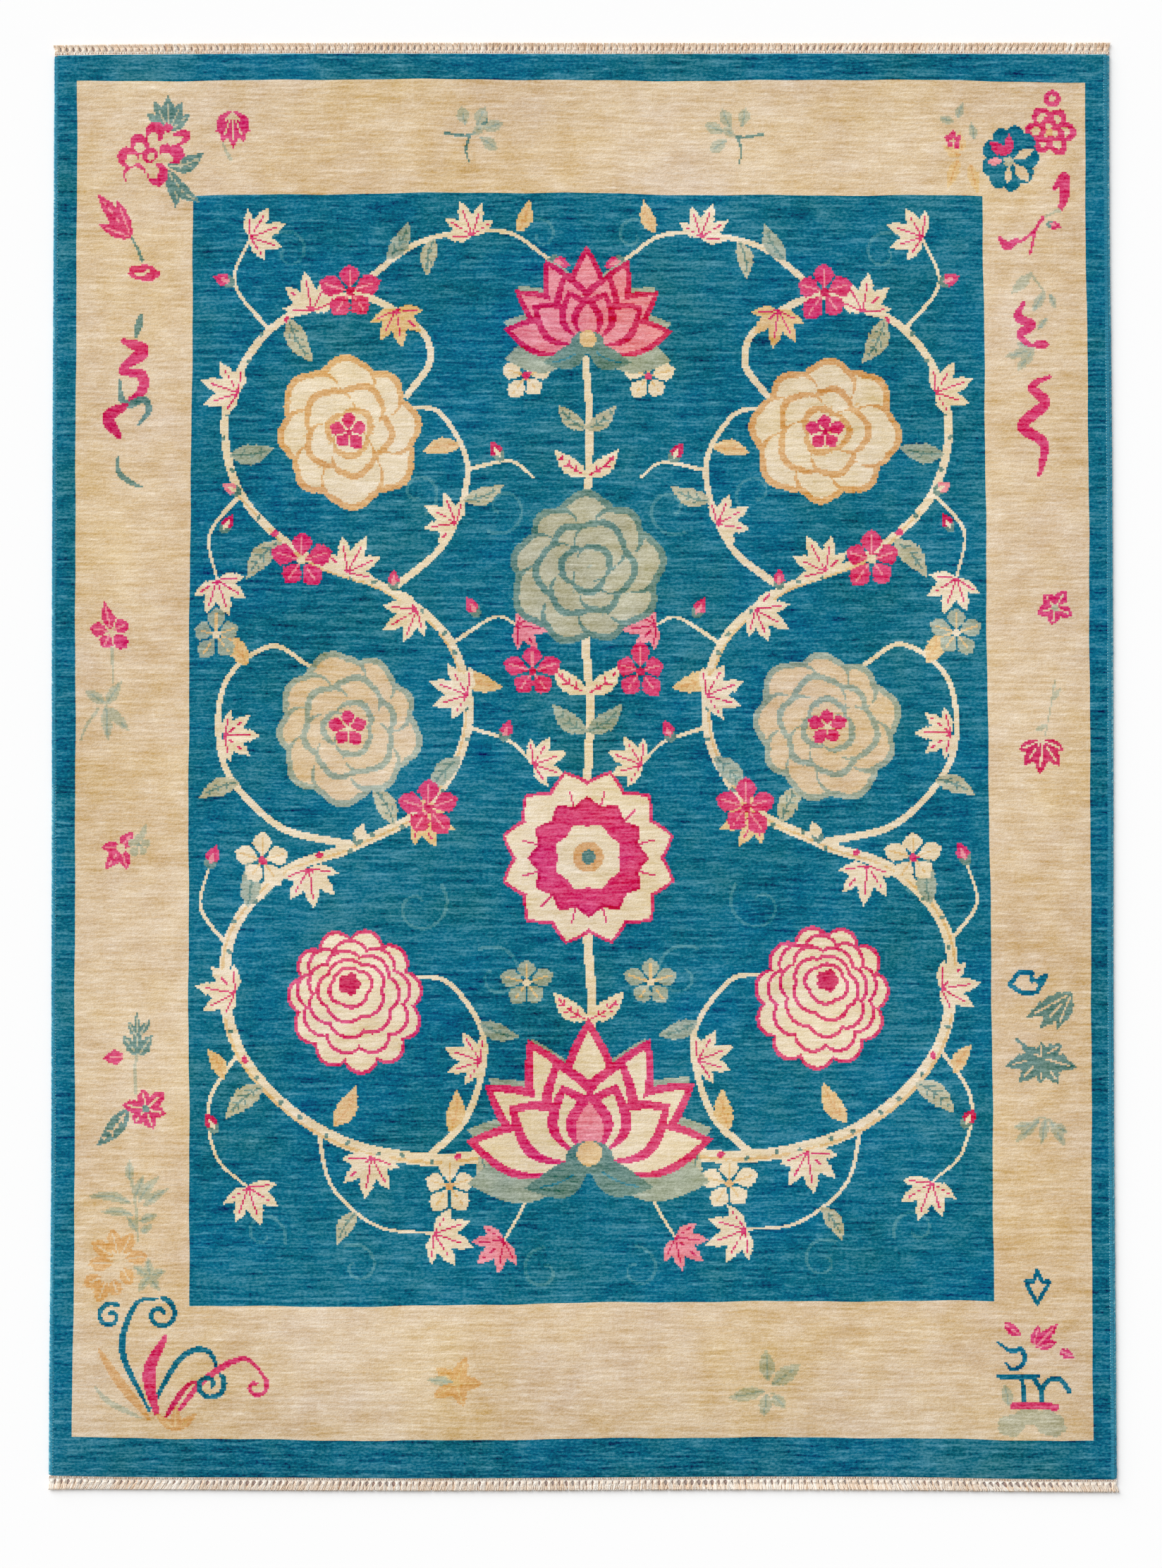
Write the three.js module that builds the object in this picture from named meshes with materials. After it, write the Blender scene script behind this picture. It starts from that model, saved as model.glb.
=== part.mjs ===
// A hand-knotted wool rug lying flat, about 2.74 m by 3.66 m without its fringe.
// Millimetres. +Z is up, +Y runs towards the rug's top end, +X to its right side.
// The origin is the middle of the whole rug's underside, fringe included.
import * as THREE from 'three';

// Cloth
const pileThickness = 9;
const pileEase = 2; // rounding of the pile's upper edge
const sideSteps = 24;
const endSteps = 18;

// Gap left between pieces that touch
const parting = 0.3;

// Overcast side cords
const cordDiameter = 8;
const cordSides = 10;
const cordEndTaper = 0.6;

// Fringe, for both ends
const locksPerEnd = 161;
const stripWidth = 6;
const stripHeight = 4;
const lockGap = 0.9; // clear way between neighbouring locks
const leanWave = 6; // neighbouring locks lean the same way, in long waves
const leanWaveLocks = 19;
const leanEach = 2.2; // and each one a little by itself
const cornerSplay = 4; // how far the outermost locks reach past the rug's side
const lengthSpread = 1.6;

// How far the finished sides stand from the rug's middle line, at stations along the rug.
// The rug widens a little towards its bottom end.
const sides = [
  { y: -1827, left: 1380, right: 1367 },
  { y: -1470, left: 1378, right: 1364 },
  { y: -1110, left: 1374, right: 1361 },
  { y: -567, left: 1373, right: 1358 },
  { y: -45, left: 1372, right: 1358 },
  { y: 339, left: 1372, right: 1357 },
  { y: 883, left: 1370, right: 1354 },
  { y: 1427, left: 1367, right: 1348 },
  { y: 1834, left: 1365, right: 1347 },
];

// How far the pile's two ends and the tips of its fringe stand from the middle, at stations across
// the rug. The tips run straighter than the pile's edge.
const ends = [
  { x: -1372, top: 1827, bottom: 1823, topTips: 1852, bottomTips: 1859 },
  { x: -1232, top: 1829, bottom: 1826, topTips: 1856, bottomTips: 1860 },
  { x: -779, top: 1832, bottom: 1828, topTips: 1860, bottomTips: 1862 },
  { x: -417, top: 1832, bottom: 1830, topTips: 1861, bottomTips: 1864 },
  { x: 127, top: 1831, bottom: 1827, topTips: 1861, bottomTips: 1862 },
  { x: 489, top: 1832, bottom: 1825, topTips: 1860, bottomTips: 1861 },
  { x: 852, top: 1832, bottom: 1827, topTips: 1861, bottomTips: 1863 },
  { x: 1123, top: 1831, bottom: 1832, topTips: 1861, bottomTips: 1866 },
  { x: 1372, top: 1830, bottom: 1833, topTips: 1861, bottomTips: 1867 },
];

// A lock of fringe from its root at the strip to its tip. out is the share of the way from the
// strip to the tip, open how much of its pitch the lock leaves free there, height its thickness.
const lockStations = [
  { out: 0, open: 0.1, height: stripHeight },
  { out: 0.24, open: 0.42, height: 5.5 },
  { out: 0.55, open: 0.04, height: 4 },
  { out: 1, open: 0, height: 3 },
];
const lockTopWidth = 0.62; // a lock's upper face is narrower than its foot

const wool = new THREE.MeshStandardMaterial({ color: 0x1c6e85, roughness: 0.95, metalness: 0 });
const overcast = new THREE.MeshStandardMaterial({ color: 0x3f8597, roughness: 0.9, metalness: 0 });
const cotton = new THREE.MeshStandardMaterial({ color: 0xdbc9b7, roughness: 0.9, metalness: 0 });

// Repeatable scatter between -1 and 1 for item number n
function scatter(n, salt) {
  const wave = Math.sin(n * 12.9898 + salt * 78.233) * 43758.5453;
  return 2 * (wave - Math.floor(wave)) - 1;
}

// Smooth curve through one column of a table, read at a place along it
function readTable(rows, placeKey, valueKey, place) {
  let i = rows.findIndex((row) => row[placeKey] > place) - 1;
  if (i < 0) i = place <= rows[0][placeKey] ? 0 : rows.length - 2;
  const slope = (a, b) => (b[valueKey] - a[valueKey]) / (b[placeKey] - a[placeKey]);
  const [from, to] = [rows[i], rows[i + 1]];
  const slopeFrom = slope(rows[Math.max(i - 1, 0)], to);
  const slopeTo = slope(from, rows[Math.min(i + 2, rows.length - 1)]);
  const span = to[placeKey] - from[placeKey];
  const t = THREE.MathUtils.clamp((place - from[placeKey]) / span, 0, 1);
  const rise = t * t * (3 - 2 * t);
  const bend = span * (slopeFrom * t * (1 - t) * (1 - t) - slopeTo * t * t * (1 - t));
  return THREE.MathUtils.lerp(from[valueKey], to[valueKey], rise) + bend;
}

const leftSide = (y) => -readTable(sides, 'y', 'left', y);
const rightSide = (y) => readTable(sides, 'y', 'right', y);
const topEnd = (x) => readTable(ends, 'x', 'top', x);
const bottomEnd = (x) => -readTable(ends, 'x', 'bottom', x);
const topTips = (x) => readTable(ends, 'x', 'topTips', x);
const bottomTips = (x) => readTable(ends, 'x', 'bottomTips', x);
const lowLine = sides[0].y;
const highLine = sides[sides.length - 1].y;

// Evenly spread places from one value to another, both included
const spread = (from, to, steps) =>
  Array.from({ length: steps + 1 }, (_, i) => THREE.MathUtils.lerp(from, to, i / steps));

// The pile's four edges, anticlockwise, drawn in by inset. What borders an edge bends at its points.
function pileEdges(inset) {
  const sideInset = cordDiameter + parting + inset;
  const left = (y) => leftSide(y) + sideInset;
  const right = (y) => rightSide(y) - sideInset;
  const bottom = (x) => bottomEnd(x) + inset;
  const top = (x) => topEnd(x) - inset;
  const acrossBottom = spread(left(lowLine), right(lowLine), endSteps);
  const upRight = spread(bottom(right(lowLine)), top(right(highLine)), sideSteps);
  const acrossTop = spread(right(highLine), left(highLine), endSteps);
  const downLeft = spread(top(left(highLine)), bottom(left(lowLine)), sideSteps);
  return {
    bottom: acrossBottom.map((x) => new THREE.Vector2(x, bottom(x))),
    right: upRight.map((y) => new THREE.Vector2(right(y), y)),
    top: acrossTop.map((x) => new THREE.Vector2(x, top(x))),
    left: downLeft.map((y) => new THREE.Vector2(left(y), y)),
  };
}

// A closed body gathered vertex by vertex
class Body {
  constructor() {
    this.vertices = [];
    this.triangles = [];
  }

  ring(points) {
    const first = this.vertices.length / 3;
    for (const point of points) this.vertices.push(point.x, point.y, point.z);
    return points.map((_, i) => first + i);
  }

  quad(a, b, c, d) {
    this.triangles.push(a, b, c, a, c, d);
  }

  // Wall between two rings that run anticlockwise seen from the second one
  wall(from, to) {
    from.forEach((_, i) => {
      const next = (i + 1) % from.length;
      this.quad(from[i], from[next], to[next], to[i]);
    });
  }

  // Flat face over an outline given in the plane; turned says that it faces down
  cap(ring, outline, turned) {
    for (const [a, b, c] of THREE.ShapeUtils.triangulateShape(outline, [])) {
      if (turned) this.triangles.push(ring[a], ring[c], ring[b]);
      else this.triangles.push(ring[a], ring[b], ring[c]);
    }
  }

  fan(ring) {
    for (let i = 1; i < ring.length - 1; i += 1) this.triangles.push(ring[0], ring[i], ring[i + 1]);
  }

  mesh(name, material) {
    const geometry = new THREE.BufferGeometry();
    geometry.setAttribute('position', new THREE.Float32BufferAttribute(this.vertices, 3));
    geometry.setIndex(this.triangles);
    geometry.computeVertexNormals();
    const mesh = new THREE.Mesh(geometry, material);
    mesh.name = name;
    return mesh;
  }
}

const raised = (outline, z) => outline.map((point) => new THREE.Vector3(point.x, point.y, z));

// The edges joined into one outline, each corner once
function pileOutline(inset) {
  const edges = pileEdges(inset);
  return [edges.bottom, edges.right, edges.top, edges.left].flatMap((edge) => edge.slice(0, -1));
}

function pile() {
  const body = new Body();
  const full = pileOutline(0);
  const eased = pileOutline(pileEase);
  const foot = body.ring(raised(full, 0));
  const shoulder = body.ring(raised(full, pileThickness - pileEase));
  const crown = body.ring(raised(eased, pileThickness));
  body.wall(foot, shoulder);
  body.wall(shoulder, crown);
  body.cap(foot, full, true);
  body.cap(crown, eased, false);
  return body.mesh('rug_pile', wool);
}

// Overcast cord along one side: places are its stations from bottom to top, and outward is -1 on
// the left and 1 on the right. It rests on one of its flats, and both its ends are drawn in.
function sideCord(name, sideAt, places, outward) {
  const radius = cordDiameter / 2;
  const restHeight = radius * Math.cos(Math.PI / cordSides);
  const body = new Body();
  const section = (y, size) => {
    const centre = sideAt(y) - outward * radius;
    const points = [];
    for (let i = 0; i < cordSides; i += 1) {
      const angle = (2 * Math.PI * (i + 0.5)) / cordSides;
      const x = centre - size * radius * Math.sin(angle);
      const z = restHeight - size * radius * Math.cos(angle);
      points.push(new THREE.Vector3(x, y, z));
    }
    return body.ring(points);
  };
  const inner = places.slice(1, -1);
  const [lowest, highest] = [places[0], places[places.length - 1]];
  const full = [lowest + radius, ...inner, highest - radius].map((y) => section(y, 1));
  const rings = [section(lowest, cordEndTaper), ...full, section(highest, cordEndTaper)];
  rings.slice(1).forEach((ring, i) => body.wall(rings[i], ring));
  body.fan([...rings[0]].reverse());
  body.fan(rings[rings.length - 1]);
  return body.mesh(name, overcast);
}

// Fringe of one end, drawn as the top end is: u runs to the right and v outwards from the pile.
// endLine(u) is the pile's edge, which bends at places, and the tips end at tipLine(u).
function fringe(name, endLine, tipLine, places, from, to, salt) {
  const pitch = (to - from) / locksPerEnd;
  const inner = (u) => endLine(u) + parting;
  const outer = (u) => inner(u) + stripWidth;
  const lockLength = (u) => tipLine(u) - outer(u);

  // Place where locks i - 1 and i part, at a share of the way out from the strip
  const part = (i, out) => {
    const across = (2 * i) / locksPerEnd - 1;
    const inside = 1 - across ** 8;
    const wave = leanWave * Math.sin((2 * Math.PI * i) / leanWaveLocks + salt);
    const lean = inside * (wave + leanEach * scatter(i, salt)) + cornerSplay * across ** 15;
    return from + i * pitch + out * lean;
  };

  const body = new Body();
  const innerEdge = [from, ...places, to].map((u) => new THREE.Vector2(u, inner(u)));
  const outerEdge = [];
  for (let lock = 0; lock < locksPerEnd; lock += 1) {
    const half = (lockStations[0].open * pitch) / 2;
    for (const u of [part(lock, 0) + half, part(lock + 1, 0) - half]) {
      outerEdge.push(new THREE.Vector2(u, outer(u)));
    }
  }
  const leftCorner = new THREE.Vector2(from, outer(from));
  const rightCorner = new THREE.Vector2(to, outer(to));
  const outline = [rightCorner, ...outerEdge.reverse(), leftCorner, ...innerEdge];
  const foot = body.ring(raised(outline, 0));
  const crown = body.ring(raised(outline, stripHeight));
  body.cap(foot, outline, true);
  body.cap(crown, outline, false);

  // The outline runs corner, outer edge from the right, corner, inner edge: walls close all of it
  // but the locks' roots.
  outline.forEach((_, i) => {
    const next = (i + 1) % outline.length;
    const isRoot = i >= 1 && i < 2 * locksPerEnd && i % 2 === 1;
    if (!isRoot) body.quad(foot[i], foot[next], crown[next], crown[i]);
  });

  for (let lock = 0; lock < locksPerEnd; lock += 1) {
    const right = 2 * (locksPerEnd - lock) - 1;
    const left = right + 1;
    const short = (lengthSpread * Math.abs(scatter(lock, salt + 1))) / lockLength(part(lock, 0));
    let previous = [foot[left], foot[right], crown[right], crown[left]];
    for (const station of lockStations.slice(1)) {
      const out = station.out * (1 - short);
      const clear = (station.open * pitch + lockGap) / 2;
      const low = part(lock, out) + clear;
      const high = part(lock + 1, out) - clear;
      const middle = (low + high) / 2;
      const topHalf = (lockTopWidth * (high - low)) / 2;
      const v = outer(middle) + out * lockLength(middle);
      const section = [
        new THREE.Vector3(low, v, 0),
        new THREE.Vector3(high, v, 0),
        new THREE.Vector3(middle + topHalf, v, station.height),
        new THREE.Vector3(middle - topHalf, v, station.height),
      ];
      const ring = body.ring(section);
      body.wall(ring, previous);
      previous = ring;
    }
    body.fan([...previous].reverse());
  }
  return body.mesh(name, cotton);
}

const edges = pileEdges(0);
const leftPlaces = edges.left.map((point) => point.y).reverse();
const rightPlaces = edges.right.map((point) => point.y);
const topPlaces = edges.top.map((point) => point.x).reverse();
const bottomPlaces = edges.bottom.map((point) => point.x);

const rug = new THREE.Group();
rug.add(pile());
rug.add(sideCord('selvedge_left', leftSide, leftPlaces, -1));
rug.add(sideCord('selvedge_right', rightSide, rightPlaces, 1));
rug.add(fringe(
  'fringe_top', topEnd, topTips, topPlaces, leftSide(highLine), rightSide(highLine), 1));

// The bottom fringe is drawn the same way and turned half round
const bottomLine = (u) => -bottomEnd(-u);
const turnedTips = (u) => bottomTips(-u);
const turnedPlaces = bottomPlaces.map((x) => -x).reverse();
const bottomFringe = fringe(
  'fringe_bottom', bottomLine, turnedTips, turnedPlaces,
  -rightSide(lowLine), -leftSide(lowLine), 2);
bottomFringe.rotation.z = Math.PI;
rug.add(bottomFringe);

// Moves the middle of the whole underside to the origin
const box = new THREE.Box3().setFromObject(rug);
const middle = box.getCenter(new THREE.Vector3());
rug.position.set(-middle.x, -middle.y, -box.min.z);

const placed = new THREE.Group();
placed.add(rug);

export default placed;
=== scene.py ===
"""A hand-knotted wool rug lying flat: pile, overcast sides and knotted fringe.

Metres, +Z up, +Y towards the rug's top end. The pattern is charted in centimetres from the
rug's middle and worked in knots.
"""

import math

import bpy
import numpy as np
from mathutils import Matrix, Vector
from mathutils.geometry import delaunay_2d_cdt


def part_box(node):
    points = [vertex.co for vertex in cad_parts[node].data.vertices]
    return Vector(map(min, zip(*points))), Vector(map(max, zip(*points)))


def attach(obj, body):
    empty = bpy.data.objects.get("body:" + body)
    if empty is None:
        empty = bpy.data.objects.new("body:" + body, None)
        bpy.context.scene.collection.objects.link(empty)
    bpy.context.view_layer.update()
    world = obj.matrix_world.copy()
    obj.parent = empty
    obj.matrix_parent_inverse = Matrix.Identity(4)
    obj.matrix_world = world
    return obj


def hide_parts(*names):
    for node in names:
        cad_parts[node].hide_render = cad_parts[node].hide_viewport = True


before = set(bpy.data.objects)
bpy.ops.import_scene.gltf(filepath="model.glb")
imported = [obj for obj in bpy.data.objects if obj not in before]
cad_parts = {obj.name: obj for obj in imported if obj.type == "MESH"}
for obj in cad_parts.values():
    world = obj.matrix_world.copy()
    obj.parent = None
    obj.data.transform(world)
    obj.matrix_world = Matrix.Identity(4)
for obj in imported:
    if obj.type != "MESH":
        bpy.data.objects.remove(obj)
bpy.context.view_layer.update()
chance = np.random.default_rng(7)

# Knot chart, row 0 at the bottom end; each cell holds the number of its wool
KNOT = 0.441  # cm
COLUMNS = 620
ROWS = 830
WOOLS = {
    "teal": (0, 105, 129),
    "haze": (62, 128, 142),
    "cream": (214, 189, 154),
    "ivory": (224, 206, 174),
    "tan": (210, 164, 110),
    "amber": (216, 182, 130),
    "sage": (178, 174, 146),
    "mist": (154, 164, 146),
    "slate": (104, 134, 124),
    "pink": (208, 64, 108),
    "rose": (224, 138, 146),
    "crimson": (196, 40, 88),
}
WOOL = {name: number for number, name in enumerate(WOOLS)}
CELLS = np.full((ROWS, COLUMNS), WOOL["teal"], np.uint8)


def near(x, y, reach):
    """Cells within reach of a place in cm, and how far right and up of it each one lies."""
    column = x / KNOT + COLUMNS / 2
    row = y / KNOT + ROWS / 2
    span = reach / KNOT + 2
    left, right = int(max(column - span, 0)), int(min(column + span + 1, COLUMNS))
    low, high = int(max(row - span, 0)), int(min(row + span + 1, ROWS))
    across = (np.arange(left, right) + 0.5 - column) * KNOT
    up = (np.arange(low, high) + 0.5 - row) * KNOT
    return CELLS[low:high, left:right], across[None, :], up[:, None]


def turned(across, up, turn):
    """The same places measured along and across a direction given in degrees."""
    cos, sin = math.cos(math.radians(turn)), math.sin(math.radians(turn))
    return across * cos + up * sin, up * cos - across * sin


def place(x, y, out, turn):
    """A place so far out from another in a direction."""
    return x + out * math.cos(math.radians(turn)), y + out * math.sin(math.radians(turn))


def blob(x, y, radius, wool, squeeze=1.0, turn=0.0, lobes=0, depth=0.0):
    """A round or lobed patch, squeezed across its direction."""
    cells, across, up = near(x, y, radius * (1 + depth))
    along, aside = turned(across, up, turn)
    aside = aside / squeeze
    wave = 1 - np.abs(np.cos(lobes * np.arctan2(aside, along) / 2)) ** 0.7
    cells[np.hypot(along, aside) < radius * (1 - depth * wave)] = WOOL[wool]


def leaf(x, y, length, width, turn, wool, vein=None, bend=0.0, belly=0.8, teeth=0, bite=0.0, ribs=0.0):
    """A pointed leaf or petal that grows from a place; belly sets where it is widest."""
    cells, across, up = near(x, y, length * 1.15 + width)
    along, aside = turned(across, up, turn)
    t = along / length
    inside = (t > 0) & (t < 1)
    t = np.clip(t, 0, 1)
    aside = aside - bend * length * np.sin(np.pi * t)
    half = width / 2 * np.sin(np.pi * t ** belly)
    half = half * (1 - bite * ((t * teeth) % 1))
    cells[inside & (np.abs(aside) < half)] = WOOL[wool]
    if vein:
        middle = (np.abs(aside) < 0.55 * KNOT) & (t > 0.06) & (t < 0.8)
        if ribs:
            slant = (along - 1.1 * np.abs(aside)) % ribs
            middle |= (slant < 1.05 * KNOT) & (np.abs(aside) < 0.62 * half) & (t > 0.15) & (t < 0.8)
        cells[inside & middle] = WOOL[vein]


def leaves(wools, rows, **look):
    """Leaves in one wool with veins in another: place, heading, length, width and bend of each."""
    for x, y, turn, length, width, *bend in rows:
        leaf(x, y, length, width, turn, *wools, *bend, **look)


def fan(x, y, wools, width, rows, **look):
    """Leaves or petals that spread from one place: heading and length of each."""
    for turn, length in rows:
        leaf(x, y, length, width, turn, *wools, **look)


def curve(points, step):
    """Smooth curve through given places, as evenly close places."""
    points = np.array(points, float)
    ends = np.vstack([2 * points[0] - points[1], points, 2 * points[-1] - points[-2]])
    pieces = []
    for a, b, c, d in zip(ends[:-3], ends[1:-2], ends[2:-1], ends[3:]):
        count = max(int(np.hypot(*(c - b)) / step), 1)
        t = (np.arange(count) / count)[:, None]
        pieces.append(0.5 * (2 * b + (c - a) * t + (2 * a - 5 * b + 4 * c - d) * t ** 2
                             + (3 * b - a - 3 * c + d) * t ** 3))
    return np.vstack([*pieces, points[-1:]])


def stroke(points, width, wool, end_width=None):
    """A stem along a smooth curve, its width running from the first place to the last."""
    line = curve(points, 0.5 * KNOT)
    end_width = end_width or width
    half = np.linspace(width, end_width, len(line)) / 2
    reach = int(max(width, end_width) / 2 / KNOT + 1)
    column = line[:, 0] / KNOT + COLUMNS / 2
    row = line[:, 1] / KNOT + ROWS / 2
    for dx in range(-reach, reach + 1):
        for dy in range(-reach, reach + 1):
            i = np.floor(column).astype(int) + dx
            j = np.floor(row).astype(int) + dy
            hit = np.hypot(i + 0.5 - column, j + 0.5 - row) * KNOT < np.maximum(half, 0.5 * KNOT)
            CELLS[j[hit], i[hit]] = WOOL[wool]


def strokes(width, wool, lines):
    for points in lines:
        stroke(points, width, wool)


def twig(points, wool, width=0.9):
    stroke(points, width, wool, 0.6 * width)


def ribbon(points, width, wool):
    """A band that swells in its middle and narrows to both tips."""
    line = curve(points, 0.5 * KNOT)
    for share, (x, y) in zip(np.linspace(0, 1, len(line)), line):
        half = 0.5 * width * (0.3 + 0.7 * math.sin(math.pi * share) ** 0.8)
        blob(x, y, max(half, 0.5 * KNOT), wool)


def scroll(x, y, size, width, wool, turn, hand, turns=1.15):
    """A curl that winds in on itself."""
    points = [place(x, y, size * (1 - 0.78 * share), turn + hand * 360 * turns * share)
              for share in np.linspace(0, 1, 17)]
    stroke(points, width, wool, 0.8 * width)


def palmate(x, y, size, turn, wool, vein, spread=190.0, slim=0.36, short=0.62):
    """A leaf of five pointed lobes that spread from its stalk, each lobe with a vein."""
    lobes = [(turn + spread * k / 5, size * (1 - (1 - short) * (abs(k) / 2.5) ** 1.5)) for k in range(-2, 3)]
    for direction, length in lobes:
        leaf(x, y, length, slim * length * 1.25, direction, wool, belly=0.85, teeth=3, bite=0.22)
    for direction, length in lobes:
        stroke([(x, y), place(x, y, 0.72 * length, direction)], 0.5 * KNOT, vein)


def bud(x, y, size, turn, wool):
    """A closed bud in its cup."""
    leaf(x, y, size, 0.55 * size, turn, wool, belly=0.9)
    heart = "rose" if wool == "pink" else "ivory"
    leaf(*place(x, y, 0.1 * size, turn), 0.62 * size, 0.2 * size, turn, heart, belly=0.9)
    for side in (-1, 1):
        leaf(x, y, 0.5 * size, 0.2 * size, turn + 32 * side, "slate")


def blossom(x, y, size, wool, eye, vein=None, turn=90.0):
    """An open flower of five separate petals with veins and a small eye."""
    for k in range(5):
        direction = turn + 72 * k
        length = size * (1 + 0.12 * math.sin(2.3 * k + x + y))
        leaf(*place(x, y, 0.1 * size, direction), length, 0.264 * math.pi * size, direction, wool, vein,
             belly=1.3, teeth=4, bite=0.14)
    blob(x, y, max(0.16 * size, 0.7 * KNOT), eye)


def petal_ring(x, y, length, petals, edge, fill, turn=0.0, rim=0.9, vein=None):
    """Petals side by side around a place, each with a rim of another wool."""
    pitch = 360 / petals
    width = 2.24 * length * math.sin(math.radians(pitch / 2))
    for wool, shrink, line in ((edge, 0.0, None), (fill, rim, vein)):
        for k in range(petals):
            direction = turn + pitch * (k - (petals - 1) / 2)
            leaf(x, y, length - shrink, width - 1.5 * shrink, direction, wool, line, belly=1.6)


def rosette(x, y, radius):
    """A round flower head seen from above, in three rings of petals."""
    petal_ring(x, y, radius, 12, "pink", "ivory", vein="pink")
    petal_ring(x, y, 0.68 * radius, 12, "crimson", "pink", 15)
    petal_ring(x, y, 0.42 * radius, 8, "pink", "ivory", rim=0.7)
    blob(x, y, 0.17 * radius, "tan")
    blob(x, y, 0.08 * radius, "slate")


def ruffled_head(x, y, radius, line, fill, turn, rings=5):
    """A full flower head of nested ruffled rings, drawn in lines of one wool."""
    for k in range(rings):
        size = radius * (1 - 0.17 * k)
        middle = place(x, y, 0.05 * radius * k, turn)
        look = (0.92, turn + 23 * k, max(11 - 2 * k, 4))
        blob(*middle, size, line, *look, depth=0.14)
        blob(*middle, size - 1.0, fill, *look, depth=0.16)
    blob(*place(x, y, 0.05 * radius * rings, turn), 0.16 * radius, "crimson", lobes=5, depth=0.3)


def petal_head(x, y, radius, rim, fill, rings, rim_width, turn, squeeze=1.0, vein=None):
    """A full flower of round petals laid over each other, ring by ring, each with its own rim."""
    for count, out, size in rings:
        for k in range(count):
            direction = turn + 360 * k / count
            petal = place(x, y, out * radius, direction)
            own = size * radius * (1 + 0.12 * math.sin(1.7 * k + count))
            blob(*petal, own, rim, squeeze, direction, lobes=5, depth=0.08)
            heart = place(*petal, -0.06 * radius, direction)
            blob(*heart, own - rim_width, fill, squeeze, direction, lobes=5, depth=0.1)
            if vein:
                stroke([place(x, y, (out - 0.4 * size) * radius, direction), petal], 0.5 * KNOT, vein)
        turn += 180 / count + 11


def lotus(x, y, size, edge="pink", fill="ivory"):
    """A lotus seen from the side: a fan of pointed petals on a leafy cup."""
    for spread, length, width, wool, petals in (
        (200, 1.0, 0.42, "mist", 9), (160, 1.02, 0.4, edge, 7), (160, 0.93, 0.3, fill, 7),
        (110, 0.8, 0.44, edge, 4), (110, 0.72, 0.3, fill, 4), (40, 0.66, 0.4, edge, 2),
        (40, 0.58, 0.26, fill, 2), (0, 0.5, 0.34, edge, 1), (0, 0.42, 0.2, "rose", 1),
    ):
        for k in range(petals):
            share = k / (petals - 1) - 0.5 if petals > 1 else 0
            own = size * length * (1 - 0.12 * abs(2 * share))
            leaf(x, y, own, size * width, 90 + spread * share, wool, belly=1.05)
    for side in (-1, 1):
        leaf(x, y, 0.5 * size, 0.24 * size, 90 + side * 112, "slate", "haze", bend=0.12 * side)
    blob(x, y + 0.02 * size, 0.17 * size, "slate", squeeze=0.7, turn=180)
    blob(x, y + 0.05 * size, 0.09 * size, "amber")


# Bands, in knots from the pile's own edges
BORDER = {"left": 11, "right": 12, "bottom": 22, "top": 14}
FIELD = {"left": 79, "right": 72, "bottom": 102, "top": 81}


def band(ends, wool):
    CELLS[ends["bottom"]:ROWS - ends["top"], ends["left"]:COLUMNS - ends["right"]] = WOOL[wool]


# Field design: one half, in cm from the field's middle; each row is set down on both sides
FIELD_MIDDLE = (1.2, 4.4)
STEMS = (
    # width at root, width at tip, places
    (3.4, 1.7, ((4, -86), (18, -101), (42, -105), (70, -97), (90, -77), (93, -50), (80, -32), (60, -24),
                (41, -14), (31, 6), (35, 27), (51, 41), (73, 50), (90, 66), (94, 88), (83, 108), (62, 117),
                (45, 109), (41, 100), (47, 91))),
    (2.0, 1.1, ((42, -105), (31, -93), (27, -74), (36, -60), (46, -58))),
    (2.0, 1.1, ((60, -24), (80, -19), (94, -3), (94, 17), (82, 27), (72, 22))),
    (2.0, 1.1, ((51, 41), (37, 53), (31, 72), (38, 86), (48, 88))),
    (1.8, 0.9, ((62, 117), (44, 130), (22, 133), (10, 126))),
    (1.1, 0.7, ((93, -50), (100, -40), (98, -30))),
    (1.1, 0.7, ((90, -77), (98, -90), (96, -104), (88, -112))),
    (1.1, 0.7, ((70, -97), (66, -112), (54, -122), (40, -124))),
    (1.1, 0.7, ((18, -101), (16, -114), (22, -126))),
    (1.1, 0.7, ((31, 6), (20, 2), (14, -4))),
    (1.1, 0.7, ((35, 27), (24, 34), (18, 32))),
    (1.1, 0.7, ((90, 66), (98, 56), (96, 44))),
    (1.1, 0.7, ((83, 108), (92, 120), (88, 132))),
    (1.1, 0.7, ((31, 72), (20, 74), (14, 70))),
)
# x, y, size, heading, hand
TENDRILS = (
    (24, -58, 8, 60, 1), (84, -34, 6, 100, -1), (22, 62, 7, -60, -1), (44, -40, 8, 140, 1),
    (12, -134, 6, 90, -1), (60, -132, 6, 60, 1), (84, -124, 6, 200, -1), (44, 66, 6, 250, -1),
    (78, 128, 6, 40, 1), (12, 132, 5, 20, 1),
)
# x, y, size, heading, and wool and vein where they aren't ivory and pink
LOBED_LEAVES = (
    (56, -104, 11, -80), (91, -62, 10.5, 10), (40, -124, 11, 200), (72, -30, 10.5, -96),
    (44, -17, 10.5, 200, "amber", "pink"), (31, 14, 10.5, 20), (44, 36, 10, -30), (62, 46, 10.5, 118),
    (96, 44, 10, -110), (91, 92, 10.5, 20), (72, 113, 10.5, 80), (50, 113, 10, -100, "amber", "pink"),
    (88, 132, 10, 160), (28, -80, 10, 20), (34, 58, 9.5, 30), (94, 4, 9.5, 180), (30, 132, 9.5, 70),
    (88, -112, 10.5, 250), (14, -4, 9.5, 160), (22, -126, 9.5, -40, "rose", "crimson"),
    (18, 32, 9, 190, "rose", "crimson"),
)
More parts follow.
